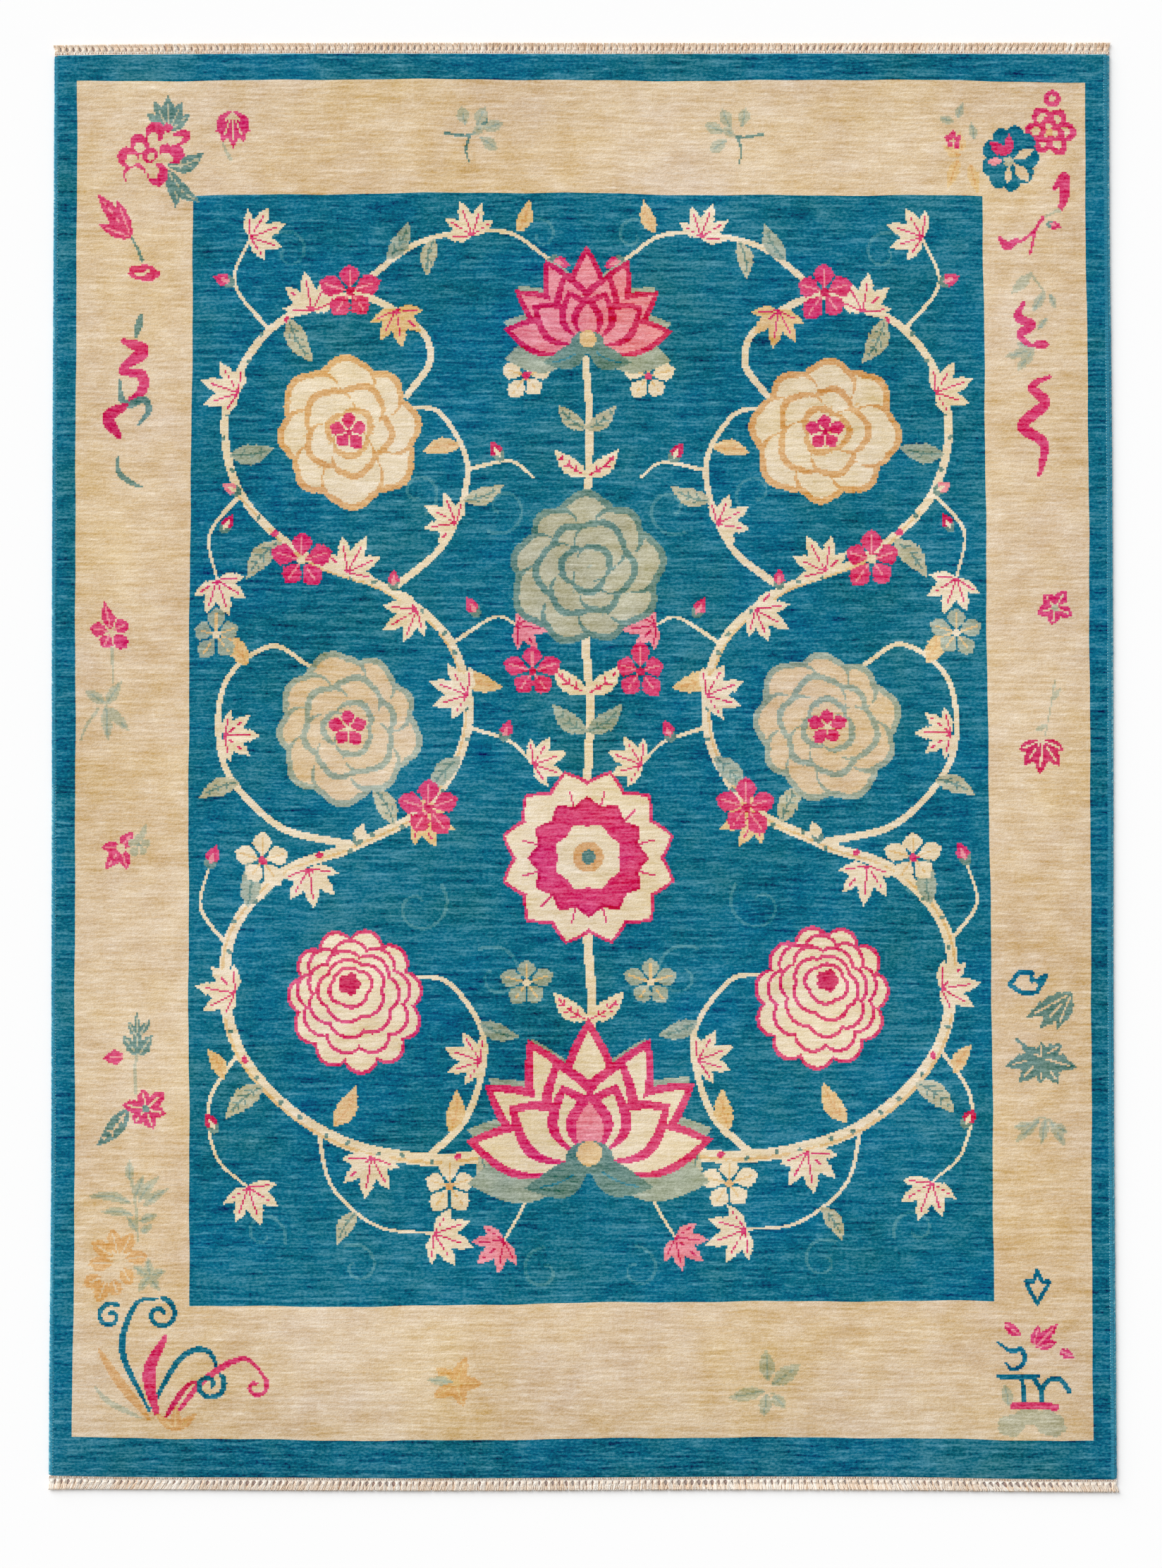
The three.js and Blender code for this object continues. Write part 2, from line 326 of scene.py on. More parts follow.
# x, y, length, heading, wool
PLAIN_LEAVES = (
    (28, -104, 13, -120, "sage"), (84, -86, 13, -40, "sage"), (88, -40, 12, 90, "mist"),
    (50, -19, 12, 60, "sage"), (33, -2, 12, -50, "mist"), (33, 20, 12, 200, "amber"),
    (80, 54, 13, -50, "sage"), (93, 76, 12, 170, "mist"), (78, 111, 13, -120, "sage"),
    (28, -70, 11, 200, "mist"), (36, -98, 11, 100, "amber"), (90, -8, 11, -20, "sage"),
    (88, 22, 11, 50, "amber"), (32, 64, 11, 160, "sage"), (33, 78, 10, -10, "amber"),
    (52, 126, 11, 120, "mist"), (40, 131, 10, -80, "sage"), (66, -96, 12, 120, "amber"),
    (18, 133, 9, 110, "amber"), (94, -84, 9, 60, "amber"), (60, -118, 10, -60, "sage"),
)
# y, length, wool, vein
MIDDLE_LEAVES = (
    (-70, 12, "ivory", "pink"), (4, 12, "mist", "slate"), (14, 12, "ivory", "pink"),
    (70, 11, "ivory", "pink"), (82, 10, "sage", "slate"),
)
# x, y, size, heading, wool
BUDS = (
    (98, -30, 6.5, 110, "pink"), (22, 2, 6, 110, "pink"), (22, 74, 6, 60, "crimson"),
    (92, 120, 6, 20, "pink"), (16, -112, 6, 140, "pink"), (60, -24, 6, 110, "ivory"),
    (95, 56, 5.5, 120, "crimson"), (28, 34, 6, 60, "pink"), (96, -98, 6, 60, "crimson"),
    (50, 41, 5.5, 90, "pink"), (90, 66, 5.5, 30, "rose"), (10, 126, 6, 200, "pink"),
)
# x, y, radius, wool, eye
SMALL_FLOWERS = (
    (41, -15, 7, "pink", "crimson"), (74, 49, 7, "pink", "ivory"), (36, -112, 6.5, "ivory", "tan"),
    (84, -28, 6.5, "ivory", "pink"), (62, 118, 7, "pink", "crimson"), (96, 30, 6, "mist", "ivory"),
    (16, -60, 6, "mist", "ivory"), (16, 96, 6, "ivory", "pink"), (14, 20, 6.5, "pink", "crimson"),
)
LEAF_LOOK = {"teeth": 5, "bite": 0.16, "ribs": 2.4}


def at(x, y, side=1):
    return FIELD_MIDDLE[0] + side * x, FIELD_MIDDLE[1] + y


def heading(turn, side):
    return turn if side == 1 else 180 - turn


def field_stems():
    for side in (-1, 1):
        for x, y, size, turn, hand in TENDRILS:
            scroll(*at(x, y, side), size, 0.9, "haze", heading(turn, side), hand * side, turns=0.95)
        for width, end, points in reversed(STEMS):
            stroke([at(x, y, side) for x, y in points], width, "ivory", end)
        main = STEMS[0][2]
        stroke([at(x + 0.7, y - 0.6, side) for x, y in main[:14]], 0.9, "amber", 0.5)
        for k, (x, y) in enumerate(curve(main, 1.0)[8:-40:7]):
            radius, wool = (1.05, "pink") if k % 9 == 4 else (0.75, "slate")
            shift = 0.5 * (-1) ** k
            blob(*at(x + shift, y + shift, side), radius, wool, squeeze=0.7, turn=50 * k)
    for low, high, width in ((-84, -48, 2.4), (-8, 30, 2.2), (62, 100, 1.9)):
        stroke([at(0, low), at(0.8, (low + high) / 2), at(-0.4, high)], width, "ivory")


def field_flowers():
    for side in (-1, 1):
        for x, y, length, turn, wool in PLAIN_LEAVES:
            vein = "tan" if wool == "amber" else "slate"
            leaf(*at(x, y, side), length, 0.46 * length, heading(turn, side), wool, vein,
                 0.07 * side, **LEAF_LOOK)
        for y, length, wool, vein in MIDDLE_LEAVES:
            leaf(*at(0, y), length, 0.44 * length, 90 - side * 50, wool, vein, -0.08 * side, **LEAF_LOOK)
        for x, y, size, turn, *wools in LOBED_LEAVES:
            palmate(*at(x, y, side), size, heading(turn, side), *(wools or ("ivory", "pink")))
        for x, y, size, turn, wool in BUDS:
            bud(*at(x, y, side), size, heading(turn, side), wool)
        for x, y, radius, wool, eye in SMALL_FLOWERS:
            blossom(*at(x, y, side), radius, wool, eye, "rose" if wool == "pink" else "amber")
    lotus(*at(0, -106), 36)
    rosette(*at(0, -28), 23)
    petal_head(*at(0, 46), 19, "slate", "sage", ((9, 0.66, 0.4), (6, 0.36, 0.34), (3, 0.14, 0.26)), 0.7, 90,
               vein="mist")
    lotus(*at(0, 104), 25, "crimson", "rose")
    for side in (-1, 1):
        ruffled_head(*at(60, -64, side), 19, "pink", "ivory", 90 - 20 * side)
        petal_head(*at(62, 6, side), 18, "mist", "cream", ((9, 0.66, 0.42), (6, 0.38, 0.36), (3, 0.16, 0.28)),
                   0.6, 15 * side, vein="sage")
        petal_head(*at(62, 82, side), 18, "tan", "ivory", ((8, 0.66, 0.42), (5, 0.36, 0.36), (3, 0.14, 0.26)),
                   0.7, 40 * side, vein="amber")
        blossom(*at(62, 82, side), 4.5, "pink", "crimson")
        blossom(*at(62, 6, side), 4.5, "pink", "ivory")


# Border sprigs, in cm from the rug's middle, in pairs of wool and vein
PALE = ("sage", "mist")
DARK = ("slate", "sage")
BROAD = ("slate", "cream")
RED = ("pink", "rose")
OPEN = ("pink", "cream")


def upper_left_sprigs():
    leaf(-108.5, 155, 10, 4.4, 20, *DARK, bend=-0.12, ribs=2.2)
    leaves(DARK, ((-108.5, 154, -78, 10, 4.2, 0.1), (-107, 152, -42, 9.5, 3.4, -0.1)))
    palmate(-108.2, 164, 9.4, 90, *DARK, spread=128, slim=0.34, short=0.7)
    # Petals laid one by one: place, radius, squeeze and heading, and the same of each one's heart
    for x, y, radius, squeeze, turn, heart_x, heart_y, heart, heart_squeeze in (
        (-117.1, 152.9, 3.1, 0.95, 20, -116.9, 152.3, 2.6, 0.9),
        (-111, 152.7, 3.1, 0.85, 80, -112.1, 153.3, 1.9, 0.7),
        (-118.8, 157.2, 2.8, 1.0, 60, -117.9, 156.5, 1.7, 0.9),
        (-115.7, 160.5, 3.0, 0.8, 130, -115.8, 159.7, 1.6, 0.8),
        (-107.6, 158.4, 3.4, 0.8, -12, -108.9, 157, 1.8, 0.8),
        (-111.8, 163.7, 2.9, 0.85, 60, -112.4, 162.1, 1.6, 0.9),
        (-105.3, 162.3, 2.9, 0.65, 28, -106.7, 161.6, 2.2, 0.45),
        (-113.2, 157.7, 2.2, 0.9, 40, -112.9, 157.3, 1.2, 0.8),
    ):
        blob(x, y, radius, "pink", squeeze, turn, lobes=7, depth=0.1)
        blob(heart_x, heart_y, heart, "cream", heart_squeeze, turn, lobes=5, depth=0.12)
    blob(-108.4, 164.9, 1.2, "pink", lobes=7, depth=0.1)
    twig([(-92.2, 156.4), (-93.8, 159.6), (-94.4, 162)], "sage")
    blob(-91.5, 165.4, 4.4, "pink", squeeze=0.8)
    palmate(-91.5, 168.6, 9.4, -90, *OPEN, spread=104)
    twig([(-114.8, 130.6), (-116.2, 134), (-117.7, 136.5)], "slate")
    leaves(RED, ((-117.7, 136.5, 129, 14.5, 4.6), (-117.7, 136.5, 112, 10.5, 3.2),
                 (-117.7, 136.5, 160, 9, 3.4)), teeth=3, bite=0.2)
    blob(-114.4, 127.4, 4.3, "pink", squeeze=0.5, turn=-6, lobes=5, depth=0.12)
    stroke([(-116.6, 127.2), (-114.8, 127), (-113.2, 128)], 0.7, "cream")


def left_sprigs():
    leaf(-115, 117, 7, 2, -103, "slate")
    ribbon([(-119.9, 110), (-114.8, 107.4), (-120.2, 102.8)], 3.4, "pink")
    ribbon([(-120.6, 101.8), (-115, 101.2), (-114.8, 97), (-118, 94.8)], 2.8, "pink")
    ribbon([(-120.5, 99.8), (-120.1, 95.4), (-118, 93.6), (-114.1, 94.9), (-113, 91.8), (-115.6, 88.4)],
           2, "slate")
    ribbon([(-118.8, 93.4), (-123.3, 90), (-120.3, 85)], 3.4, "crimson")
    ribbon([(-120.8, 80), (-120.4, 76), (-116.8, 73.3), (-114.1, 72.3)], 1.5, "slate")

    twig([(-122.4, 31), (-122, 26), (-121.9, 22)], "sage")
    blossom(-122.4, 35, 4.9, *OPEN, "rose", 100)
    leaf(-122.4, 35.5, 7.4, 3, 104, *RED)
    leaves(PALE, ((-124, 16, 56, 8, 3.2), (-124, 16.5, 148, 6.4, 3.2), (-124, 16, -86, 9.4, 3.2),
                  (-123.6, 15.6, -46, 8.6, 3.2)), teeth=4, bite=0.2)
    twig([(-126, 15), (-129, 11), (-130.6, 7.2)], "sage")

    fan(-119.6, -20.6, RED, 3.4, ((55, 5.4), (178, 5.2), (232, 7), (284, 5.8)))
    blob(-119.6, -20.7, 1.2, "cream")
    blossom(-114.9, -19.6, 2.9, *PALE)
    leaf(-114.4, -18, 4.2, 1.7, 70, "sage")

    twig([(-115.4, -73), (-116, -78), (-116, -83.6)], "sage")
    leaves(DARK, ((-115.1, -74, 92, 12.4, 2), (-115.4, -69, 122, 4.8, 2.2), (-114.8, -68.6, 58, 5.2, 2.2),
                  (-115.1, -73.8, 128, 6.6, 3.4), (-115.1, -73.8, 56, 6.8, 3.6)), teeth=3, bite=0.25)
    leaf(-118.8, -74, 5.6, 4, 188, *RED, teeth=3, bite=0.2)
    leaf(-118, -87.6, 12.6, 4.6, 230, *BROAD, bend=0.05, ribs=2.2)
    fan(-113.4, -87.4, OPEN, 3.8, ((42, 7), (98, 5.2), (172, 6.2), (232, 5), (292, 5.6), (348, 5.4)),
        belly=1.1, teeth=3, bite=0.2)
    blob(-113.4, -87.4, 1, "slate")


def lower_left_sprigs():
    twig([(-117.2, -105), (-115.8, -112), (-115.2, -121.4)], "sage", 1.0)
    leaves(PALE, (
        (-117.4, -106, 92, 5.4, 2.4), (-115.9, -110.2, 70, 6.6, 2.2), (-115, -111.4, 52, 9, 2.4, 0.06),
        (-113.8, -112.6, 36, 8.4, 2.4, 0.06), (-116.8, -112, 172, 12, 2.6, -0.1),
        (-116.5, -114.8, 176, 8.6, 2.4, -0.06), (-115, -116.4, 24, 5.8, 2.2),
        (-115.4, -119, 124, 4.8, 2), (-114.8, -119.6, 38, 4.4, 2),
    ))
    leaves(("tan", "cream"), (
        (-120, -125.6, 62, 7, 4.2), (-120.4, -125.6, 104, 7.6, 4.2), (-121.6, -125.6, 146, 7, 4.2),
        (-121, -127, 184, 7.4, 4.2), (-119, -126.4, 12, 6.4, 4.2), (-119.6, -128, 300, 5.6, 4.2),
        (-124, -130.6, 204, 6, 4.2), (-123.4, -131.4, 248, 6.4, 4.2), (-122, -131, 290, 5, 4.2),
    ), belly=1.2, teeth=3, bite=0.2)
    fan(-112.4, -130.4, PALE, 2.3, ((turn, 4.8) for turn in (20, 92, 150, 236, 308)))

    # A tuft of curling leaves and scrolls in the corner
    for width, wool, points in (
        (1.7, "teal", ((-112, -166), (-119, -150), (-116, -138), (-110, -136))),
        (1.6, "teal", ((-112, -166), (-104, -152), (-97, -150), (-93, -158))),
        (3.2, "pink", ((-110, -167), (-112, -156), (-108, -146))),
        (2.6, "tan", ((-112, -168), (-120, -158), (-125, -150))),
        (1.7, "pink", ((-106, -168), (-98, -158), (-88, -152), (-82, -157))),
        (1.6, "crimson", ((-108, -168), (-103, -160), (-100, -158))),
        (1.6, "sage", ((-114, -168), (-122, -164), (-126, -160))),
    ):
        ribbon(points, width, wool)
    scroll(-109.5, -140.2, 4.4, 1.4, "teal", 80, -1)
    scroll(-96.6, -159, 4.2, 1.4, "teal", 30, -1)
    scroll(-122.4, -141, 3.6, 1.3, "teal", 60, 1)
    scroll(-84.6, -159.4, 3.2, 1.2, "pink", 40, -1, turns=0.9)
    fan(-105, -171, ("tan", "amber"), 2.4, ((40, 7), (90, 7), (140, 7)))


def upper_right_sprigs():
    blob(122.9, 172.7, 2.2, "pink")
    blob(122.9, 172.7, 0.9, "cream")
    petal_head(122.4, 164.2, 6.6, *OPEN, ((6, 0.6, 0.4), (3, 0.26, 0.34)), 1.3, 60, squeeze=0.85)
    blob(122.2, 164, 1, "tan")
    leaves(("amber", "tan"), ((99.4, 158.6, 96, 5, 3.2), (99, 157.4, 150, 5.4, 3.2),
                              (98.6, 156.6, 250, 8, 3.2), (101.6, 155.6, 286, 8, 3.2)), teeth=3, bite=0.2)
    leaves(PALE, ((97.4, 166, 160, 4.4, 2.2), (98.4, 167, 70, 4.4, 2.2), (102.8, 161.8, 100, 4.4, 2.2)))
    blossom(97.2, 161.4, 2.2, *OPEN)
    blob(112, 157.2, 8.6, "teal", squeeze=0.86, turn=78, lobes=9, depth=0.16)
    for wool, rows in (
        ("cream", ((112.8, 156.8, 28, 6, 2.8), (113, 156, -50, 6.2, 3.2), (111.6, 155.4, 268, 4.6, 2.2))),
        ("pink", ((111.2, 157.6, 138, 6, 3.2), (111.6, 157.8, 88, 5.6, 2.8))),
        ("rose", ((110.4, 156.6, 186, 4.6, 2.2),)),
    ):
        leaves((wool,), rows, belly=1.1, teeth=3, bite=0.25)
    blob(111.6, 156.4, 1.4, "sage", lobes=5, depth=0.3)
    ribbon([(123.2, 149.4), (126, 152.6), (126, 147), (124.4, 143.4)], 2.6, "pink")
    twig([(124.6, 144), (122.6, 143), (120.6, 142)], "sage")
    twig([(120.6, 142), (118.6, 138.8), (117.2, 132.6)], "pink", 1.0)
    twig([(118.8, 139), (115, 136), (112, 135.6)], "pink", 1.0)
    ribbon([(109.2, 136.8), (111.4, 134.6), (113.8, 136.4)], 2.2, "pink")
    bud(121.4, 140.6, 4, -14, "pink")


def right_sprigs():
    leaves(PALE, ((117.3, 127.4, 224, 7.6, 2.8), (120.5, 122.6, 238, 6.2, 2.4), (121.8, 122.2, -66, 4.4, 1.8),
                  (121, 116, 232, 3.8, 1.8)))
    fan(117.6, 108, PALE, 3, ((158, 5), (196, 8), (232, 7.4)), teeth=3, bite=0.25)
    twig([(117.3, 127.4), (119, 125), (120.5, 122.6)], "sage")
    ribbon([(115.1, 120), (113.6, 116.4), (116.9, 114.2), (114.2, 111.6), (116.9, 108.6)], 2.5, "pink")
    blob(119.5, 109.1, 2.1, "pink", squeeze=0.55)
    ribbon([(121.6, 100.9), (117, 98.2), (120.4, 94), (114.8, 88.2), (119.9, 83.7), (119.5, 78.3),
            (118.7, 75.4)], 3.0, "pink")

    fan(122.6, 41, OPEN, 3.4, ((58, 5.4), (128, 4.6), (196, 4.8), (262, 4.4), (338, 5)),
        belly=1.2, teeth=2, bite=0.15)
    blob(122.6, 41, 0.9, "sage")
    twig([(122.4, 22), (121, 14), (119.4, 7.2)], "sage", 0.6)
    leaves(("sage",), ((121.8, 17, 60, 4, 1.4), (120.2, 11, 210, 4, 1.4)))
    leaves(("crimson", "cream"), ((118.8, 7, 268, 9, 3.4), (118.8, 7, 236, 8, 3.2), (118.8, 7, 304, 8.4, 3.4),
                                  (118.8, 7, 204, 6.6, 2.8), (118.8, 7, 334, 6.4, 2.8)), belly=1.2)

    strokes(1.2, "teal", (
        ((109.8, -56.4), (112.4, -53)), ((112.4, -53), (115.8, -53.2)), ((117, -55.2), (119.6, -53.8)),
        ((119.6, -53.8), (117, -58.2)), ((117, -58.2), (113.4, -58.6)), ((113.4, -58.6), (109.8, -56.4)),
        ((115.4, -53.2), (115.8, -55.2)),
    ))
    leaves(BROAD, ((126.6, -58.6, 206, 14, 5), (126.2, -59, 246, 9.6, 4.6), (124, -61, 226, 9, 4.6)),
           teeth=5, bite=0.26)
    leaves(BROAD, (
        (118, -75, 194, 10, 5), (118, -75, 228, 9, 5), (118, -75, 268, 7, 4.6), (118, -75, 304, 8.6, 5),
        (118, -75, 342, 10, 5.2), (118, -75, 154, 6, 3.6), (118, -75, 30, 6.6, 4), (118, -75, 88, 4, 3),
    ), teeth=4, bite=0.24)
    twig([(111.6, -70.6), (113.4, -72), (116, -74)], "slate")
    twig([(114, -93), (118, -90.6), (121.6, -93)], "sage")
    leaves(PALE, ((120, -91, 302, 9, 2.4), (119, -90.8, 262, 7, 2.4), (117.4, -91, 224, 9.4, 2.4),
                  (115, -92.4, 190, 4.6, 2.4), (121.4, -92.6, -30, 4, 2.4)))


def lower_right_sprigs():
    strokes(1.1, "teal", (
        ((116.6, -130.2), (118, -133), (119.8, -133), (118.4, -135.6), (116.6, -138.6)),
        ((116.6, -130.2), (115.4, -133), (113.6, -132.8), (114.8, -135.6), (116.6, -138.6)),
    ))
    leaves(RED, ((107.4, -143.6, -36, 6, 3.2), (115.8, -149.8, 44, 9, 3.2), (115.4, -149.4, 74, 5.6, 2.8),
                 (116.6, -149.8, 16, 5.6, 2.8), (122.4, -150.4, -26, 4.8, 2.6)), teeth=3, bite=0.22)
    leaf(108.6, -164.6, 6, 3, 100, *PALE)
    ribbon([(105.8, -148.4), (109.2, -150.6), (112.4, -150.4), (112.8, -153.8), (109.8, -155.4),
            (108, -153.6)], 1.4, "teal")
    strokes(1.3, "teal", (
        ((105.8, -157), (112, -157.2), (116.6, -157)), ((112.4, -157), (112.6, -163.4)),
        ((114.8, -157), (117.2, -160), (117.4, -163.6)),
        ((117.4, -161), (119.4, -158.2), (122.6, -157.8), (125.2, -161)),
    ))
    blob(109, -169.6, 3.8, "sage", squeeze=0.75, lobes=5, depth=0.16)
    blob(119.4, -168.8, 5, "sage", squeeze=0.66, turn=-20, lobes=7, depth=0.14)
    blob(114, -167.2, 4, "sage", squeeze=0.5)
    stroke([(109.8, -164.6), (115.4, -164.4), (121.4, -164.8)], 1.8, "pink")


def end_sprigs():
    for x, side in ((-29.3, 1), (40.6, -1)):
        twig([(x - 6.7 * side, 162.7), (x, 162.4), (x + 4.5 * side, 166.4)], "slate", 0.8)
        twig([(x, 162.4), (x - 1.2 * side, 158.6), (x - 0.6 * side, 155.6)], "slate", 0.8)
        rows = ((-1.2, 164.8, 104, 5, 3.4), (1.6, 164.4, 66, 5.8, 3.4), (3, 163.6, 20, 6, 3.2),
                (2.4, 162, -36, 5.8, 3.2), (0.4, 162.4, 36, 4, 2.4))
        sprig = [(x + dx * side, y, heading(turn, side), *size) for dx, y, turn, *size in rows]
        leaves(PALE, sprig, belly=1.2)
    fan(-33.2, -158.4, ("tan", "amber"), 4, ((70, 7.4), (142, 6.6), (214, 7.2), (286, 6.6), (-2, 7)),
        teeth=3, bite=0.16)
    leaf(-34.4, -158, 6.4, 2.4, 176, *PALE)
    blob(-33.2, -158.4, 1, "amber")
    leaves(PALE, ((47.4, -160, 36, 9.6, 4.6), (46.6, -159, 92, 8.4, 4.4), (46, -161.4, 190, 9.6, 4),
                  (46.4, -162, 262, 6.4, 3.6), (47.4, -162, 316, 5.6, 3.2)), belly=0.95, teeth=4, bite=0.18)


def chart_pattern():
    band(BORDER, "cream")
    band(FIELD, "teal")
    for paint in (field_stems, field_flowers, upper_left_sprigs, left_sprigs, lower_left_sprigs,
                  upper_right_sprigs, right_sprigs, lower_right_sprigs, end_sprigs):
        paint()


# Sizes in metres
HALF_SIZE = (1.37, 1.84)  # the pile's, rounded, for the darker and lighter tones along its edges
PILE_HEIGHT = 0.009
PILE_EASE = 0.002  # rounding of its upper edge
EDGE_RINGS = ((1.0, 0.0), (0.6, 0.13), (0.2, 0.45))  # how far down and in each lies, in shares of the ease
UNEVEN = 0.0005
EDGE_STEP = 6  # knots between points along the pile's edge and inside plain areas
GAP = 0.0003
CORD_WIDTH = 0.008
CORD_MIDDLE = 0.0043
CORD_HALF_HEIGHT = 0.0042
CORD_TUCK = 0.0009  # how far the wrapped cord is drawn in under the pile
CORD_SIDES = 12
CORD_SLANT = 0.0013
CORD_ENDS = 0.0014  # from each end of the pile to the first turn
CORD_TIP = (0.55, 0.85)  # sizes of the rings at each end
TURN_PITCH = 0.0042
TURN_RINGS = ((0.0, 0.84), (0.3, 1.0), (0.7, 1.0))  # where in its turn a ring stands, and its size
STITCH_PITCH = 0.0036
STITCH_REACH = {"left": 0.0034, "right": 0.0068}
# Along a stitch: how far inside the edge, what share of the reach is added, height, radius
STITCH_RINGS = (
    (-0.0030, 0.0, 0.0082, 0.0013), (-0.0006, 0.0, 0.0088, 0.0018), (0.0014, 0.0, 0.0091, 0.0018),
    (-0.0012, 1.0, 0.0091, 0.0012), (0.0, 1.0, 0.0092, 0.0011), (0.0012, 1.0, 0.0086, 0.0005),
)

# How far the border's and the field's own edges stray to the right or upwards, in mm, at five even
# places along each from the left or from the bottom
STRAY = {
    "left": ((0.1, 3.9, 2.0, 3.4, 0.1), (0, 1, -5, 5.4, 2.7)),
    "right": ((3, 3.4, 3.3, -0.7, 0.7), (17.2, 12.1, 3.9, -4.8, -2.4)),
    "bottom": ((-0.2, 0, -0.8, 4.2, -1.8), (-12.9, -9, -4, 2.3, 7.5)),
    "top": ((-3.8, -3.5, -4.7, -4.2, -11.4), (-2.5, -2.7, 0.7, -6.2, -11)),
}
# How the weave wanders aside and upwards: size, waves along it, slant and phase
WANDER_ASIDE = ((0.0016, 15, 3, 0), (0.0009, 47, 0, 1.7), (0.0006, 121, 9, 0))
WANDER_UP = ((0.0021, 13, 2, 1), (0.0012, 39, 0, 0.4), (0.0007, 97, 6, 0))

# How far a channel follows the streaks and clouds, and how far a wool shows the clouds, by brightness
ANSWER = ((0, 0.14, 0.22, 0.35, 0.55, 0.7, 1), (0.42, 0.76, 0.86, 0.97, 0.84, 0.7, 0.65))
CLOUDED = ((0.14, 0.55), (0.6, 1.4))


# The pile's outline, read from the CAD piece
def outline_edges():
    """The pile's four edges as polylines: bottom and top from left to right, left and right upwards."""
    places = np.array([v.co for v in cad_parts["rug_pile"].data.vertices])
    bottom_dimming = np.unique(np.round(places[places[:, 2] < 1e-5, :2], 6), axis=0)
    edges = {}
    # Name, axis, way and the least distance out of each edge's points
    for name, axis, way, least in (
        ("left", 0, -1, 1.3), ("right", 0, 1, 1.3), ("bottom", 1, -1, 1.78), ("top", 1, 1, 1.78),
    ):
        edge = bottom_dimming[way * bottom_dimming[:, axis] > least]
        edges[name] = edge[np.argsort(edge[:, 1 - axis])]
    return edges


EDGES = outline_edges()


def on_edge(edge, share):
    """Places on an edge at shares of its length, corner to corner."""
    line = EDGES[edge]
    axis = 0 if edge in ("bottom", "top") else 1
    reach = line[0, axis] + share * (line[-1, axis] - line[0, axis])
    other = np.interp(reach, line[:, axis], line[:, 1 - axis])
    return np.stack([reach, other] if axis == 0 else [other, reach], -1)


def strayed(away, beside, count, first, last):
    """The stray of places a share of the way across, between the pile's edges and the seams at each side."""
    seams = np.array([0, BORDER[first] / count, FIELD[first] / count, 1 - FIELD[last] / count,
                      1 - BORDER[last] / count, 1])
    lines = [[0] * 5, *STRAY[first], *STRAY[last][::-1], [0] * 5]
    here = np.array([np.interp(beside, np.linspace(0, 1, 5), line) for line in lines])
    number = np.clip(np.searchsorted(seams, away, side="right") - 1, 0, 4)
    share = (away - seams[number]) / (seams[number + 1] - seams[number])
    pick = np.arange(len(away))
    return 0.001 * ((1 - share) * here[number, pick] + share * here[number + 1, pick])


def wander(main, slant, sines):
    return sum(size * np.sin(pace * main + lean * slant + phase) for size, pace, lean, phase in sines)


def laid(s, t, inset):
    """Where a share s of the width and t of the length lies on the rug, its weave wandering a little."""
    wide, high = s[:, None], t[:, None]
    spot = (1 - high) * on_edge("bottom", s) + high * on_edge("top", s)
    spot += (1 - wide) * on_edge("left", t) + wide * on_edge("right", t)
    for i in (0, 1):
        for j in (0, 1):
            corner = on_edge("top" if j else "bottom", float(i))
            spot -= (wide if i else 1 - wide) * (high if j else 1 - high) * corner
    spot += inset * np.stack([1 - 2 * s, 1 - 2 * t], -1)
    inside = np.minimum(np.minimum(s, 1 - s) * 40, np.minimum(t, 1 - t) * 50).clip(0, 1)
    aside = wander(t, s, WANDER_ASIDE) * inside + strayed(s, t, COLUMNS, "left", "right")
    up = wander(s, t, WANDER_UP) * inside + strayed(t, s, ROWS, "bottom", "top")
    return spot + np.stack([aside, up], -1)


def waves(places, count, shortest, longest, salt):
    """A smooth random surface between about -1 and 1, from a few plane waves."""
    own = np.random.default_rng(salt)
    total = np.zeros(len(places))
    for _ in range(count):
        turn, phase = own.uniform(0, 2 * np.pi, 2)
        size = 2 * np.pi / own.uniform(shortest, longest)
        total += np.sin(size * (places[:, 0] * np.cos(turn) + places[:, 1] * np.sin(turn)) + phase)
    return total / np.sqrt(2 * count)


def rise(value, start, length):
    """From 0 to 1 while a value goes up from its start."""
    return ((value - start) / length).clip(0, 1)


def tone_shift(places):
    """How each place strays from its wool: how much lighter or darker, how much warmer, and what share of its
    colour is kept.
    """
    across = np.column_stack([0.12 * places[:, 0], places[:, 1]])
    shade = 0.020 * waves(across, 8, 0.05, 0.5, 3) + 0.034 * waves(places, 14, 0.14, 1.3, 4)
    hue = waves(places, 14, 0.12, 0.8, 6)
    edge = (np.abs(places[:, :2]) / HALF_SIZE).max(1)
    # Darker near the edges and towards the bottom end, lighter along the outermost band
    dimmed = rise(edge, 0.86, 0.1)
    bottom_dimming = rise(-places[:, 1], 1.3, 0.4)
    edge_lightening = rise(edge, 0.955, 0.01)
    kept = 1.015 - 0.035 * dimmed - 0.07 * bottom_dimming
    return np.column_stack([shade + 0.008 + 0.01 * edge_lightening, hue, np.zeros(len(places)), kept])


def linear(colour):
    share = np.array(colour) / 255
    return np.where(share < 0.04045, share / 12.92, ((share + 0.055) / 1.055) ** 2.4)


# Meshes
def built(name, places, faces, smooth):
    """A piece of these faces, and the number of the place at each corner of them."""
    mesh = bpy.data.meshes.new(name)
    mesh.from_pydata(places.tolist(), [], faces)
    mesh.polygons.foreach_set("use_smooth", smooth)
    piece = bpy.data.objects.new(name, mesh)
    bpy.context.scene.collection.objects.link(piece)
    corners = np.zeros(len(mesh.loops), np.int32)
    mesh.loops.foreach_get("vertex_index", corners)
    return piece, corners


def store(piece, name, domain, values):
    """Keeps a colour or a number for each face or point."""
    kind, field = ("FLOAT_COLOR", "color") if values.ndim == 2 else ("FLOAT", "value")
    layer = piece.data.attributes.new(name, kind, domain)
    layer.data.foreach_set(field, values.astype(np.float32).ravel())


def bake_map(piece, flat):
    layer = piece.data.uv_layers.new(name="OFBake")
    layer.data.foreach_set("uv", flat.astype(np.float32).ravel())
    piece.data.update()


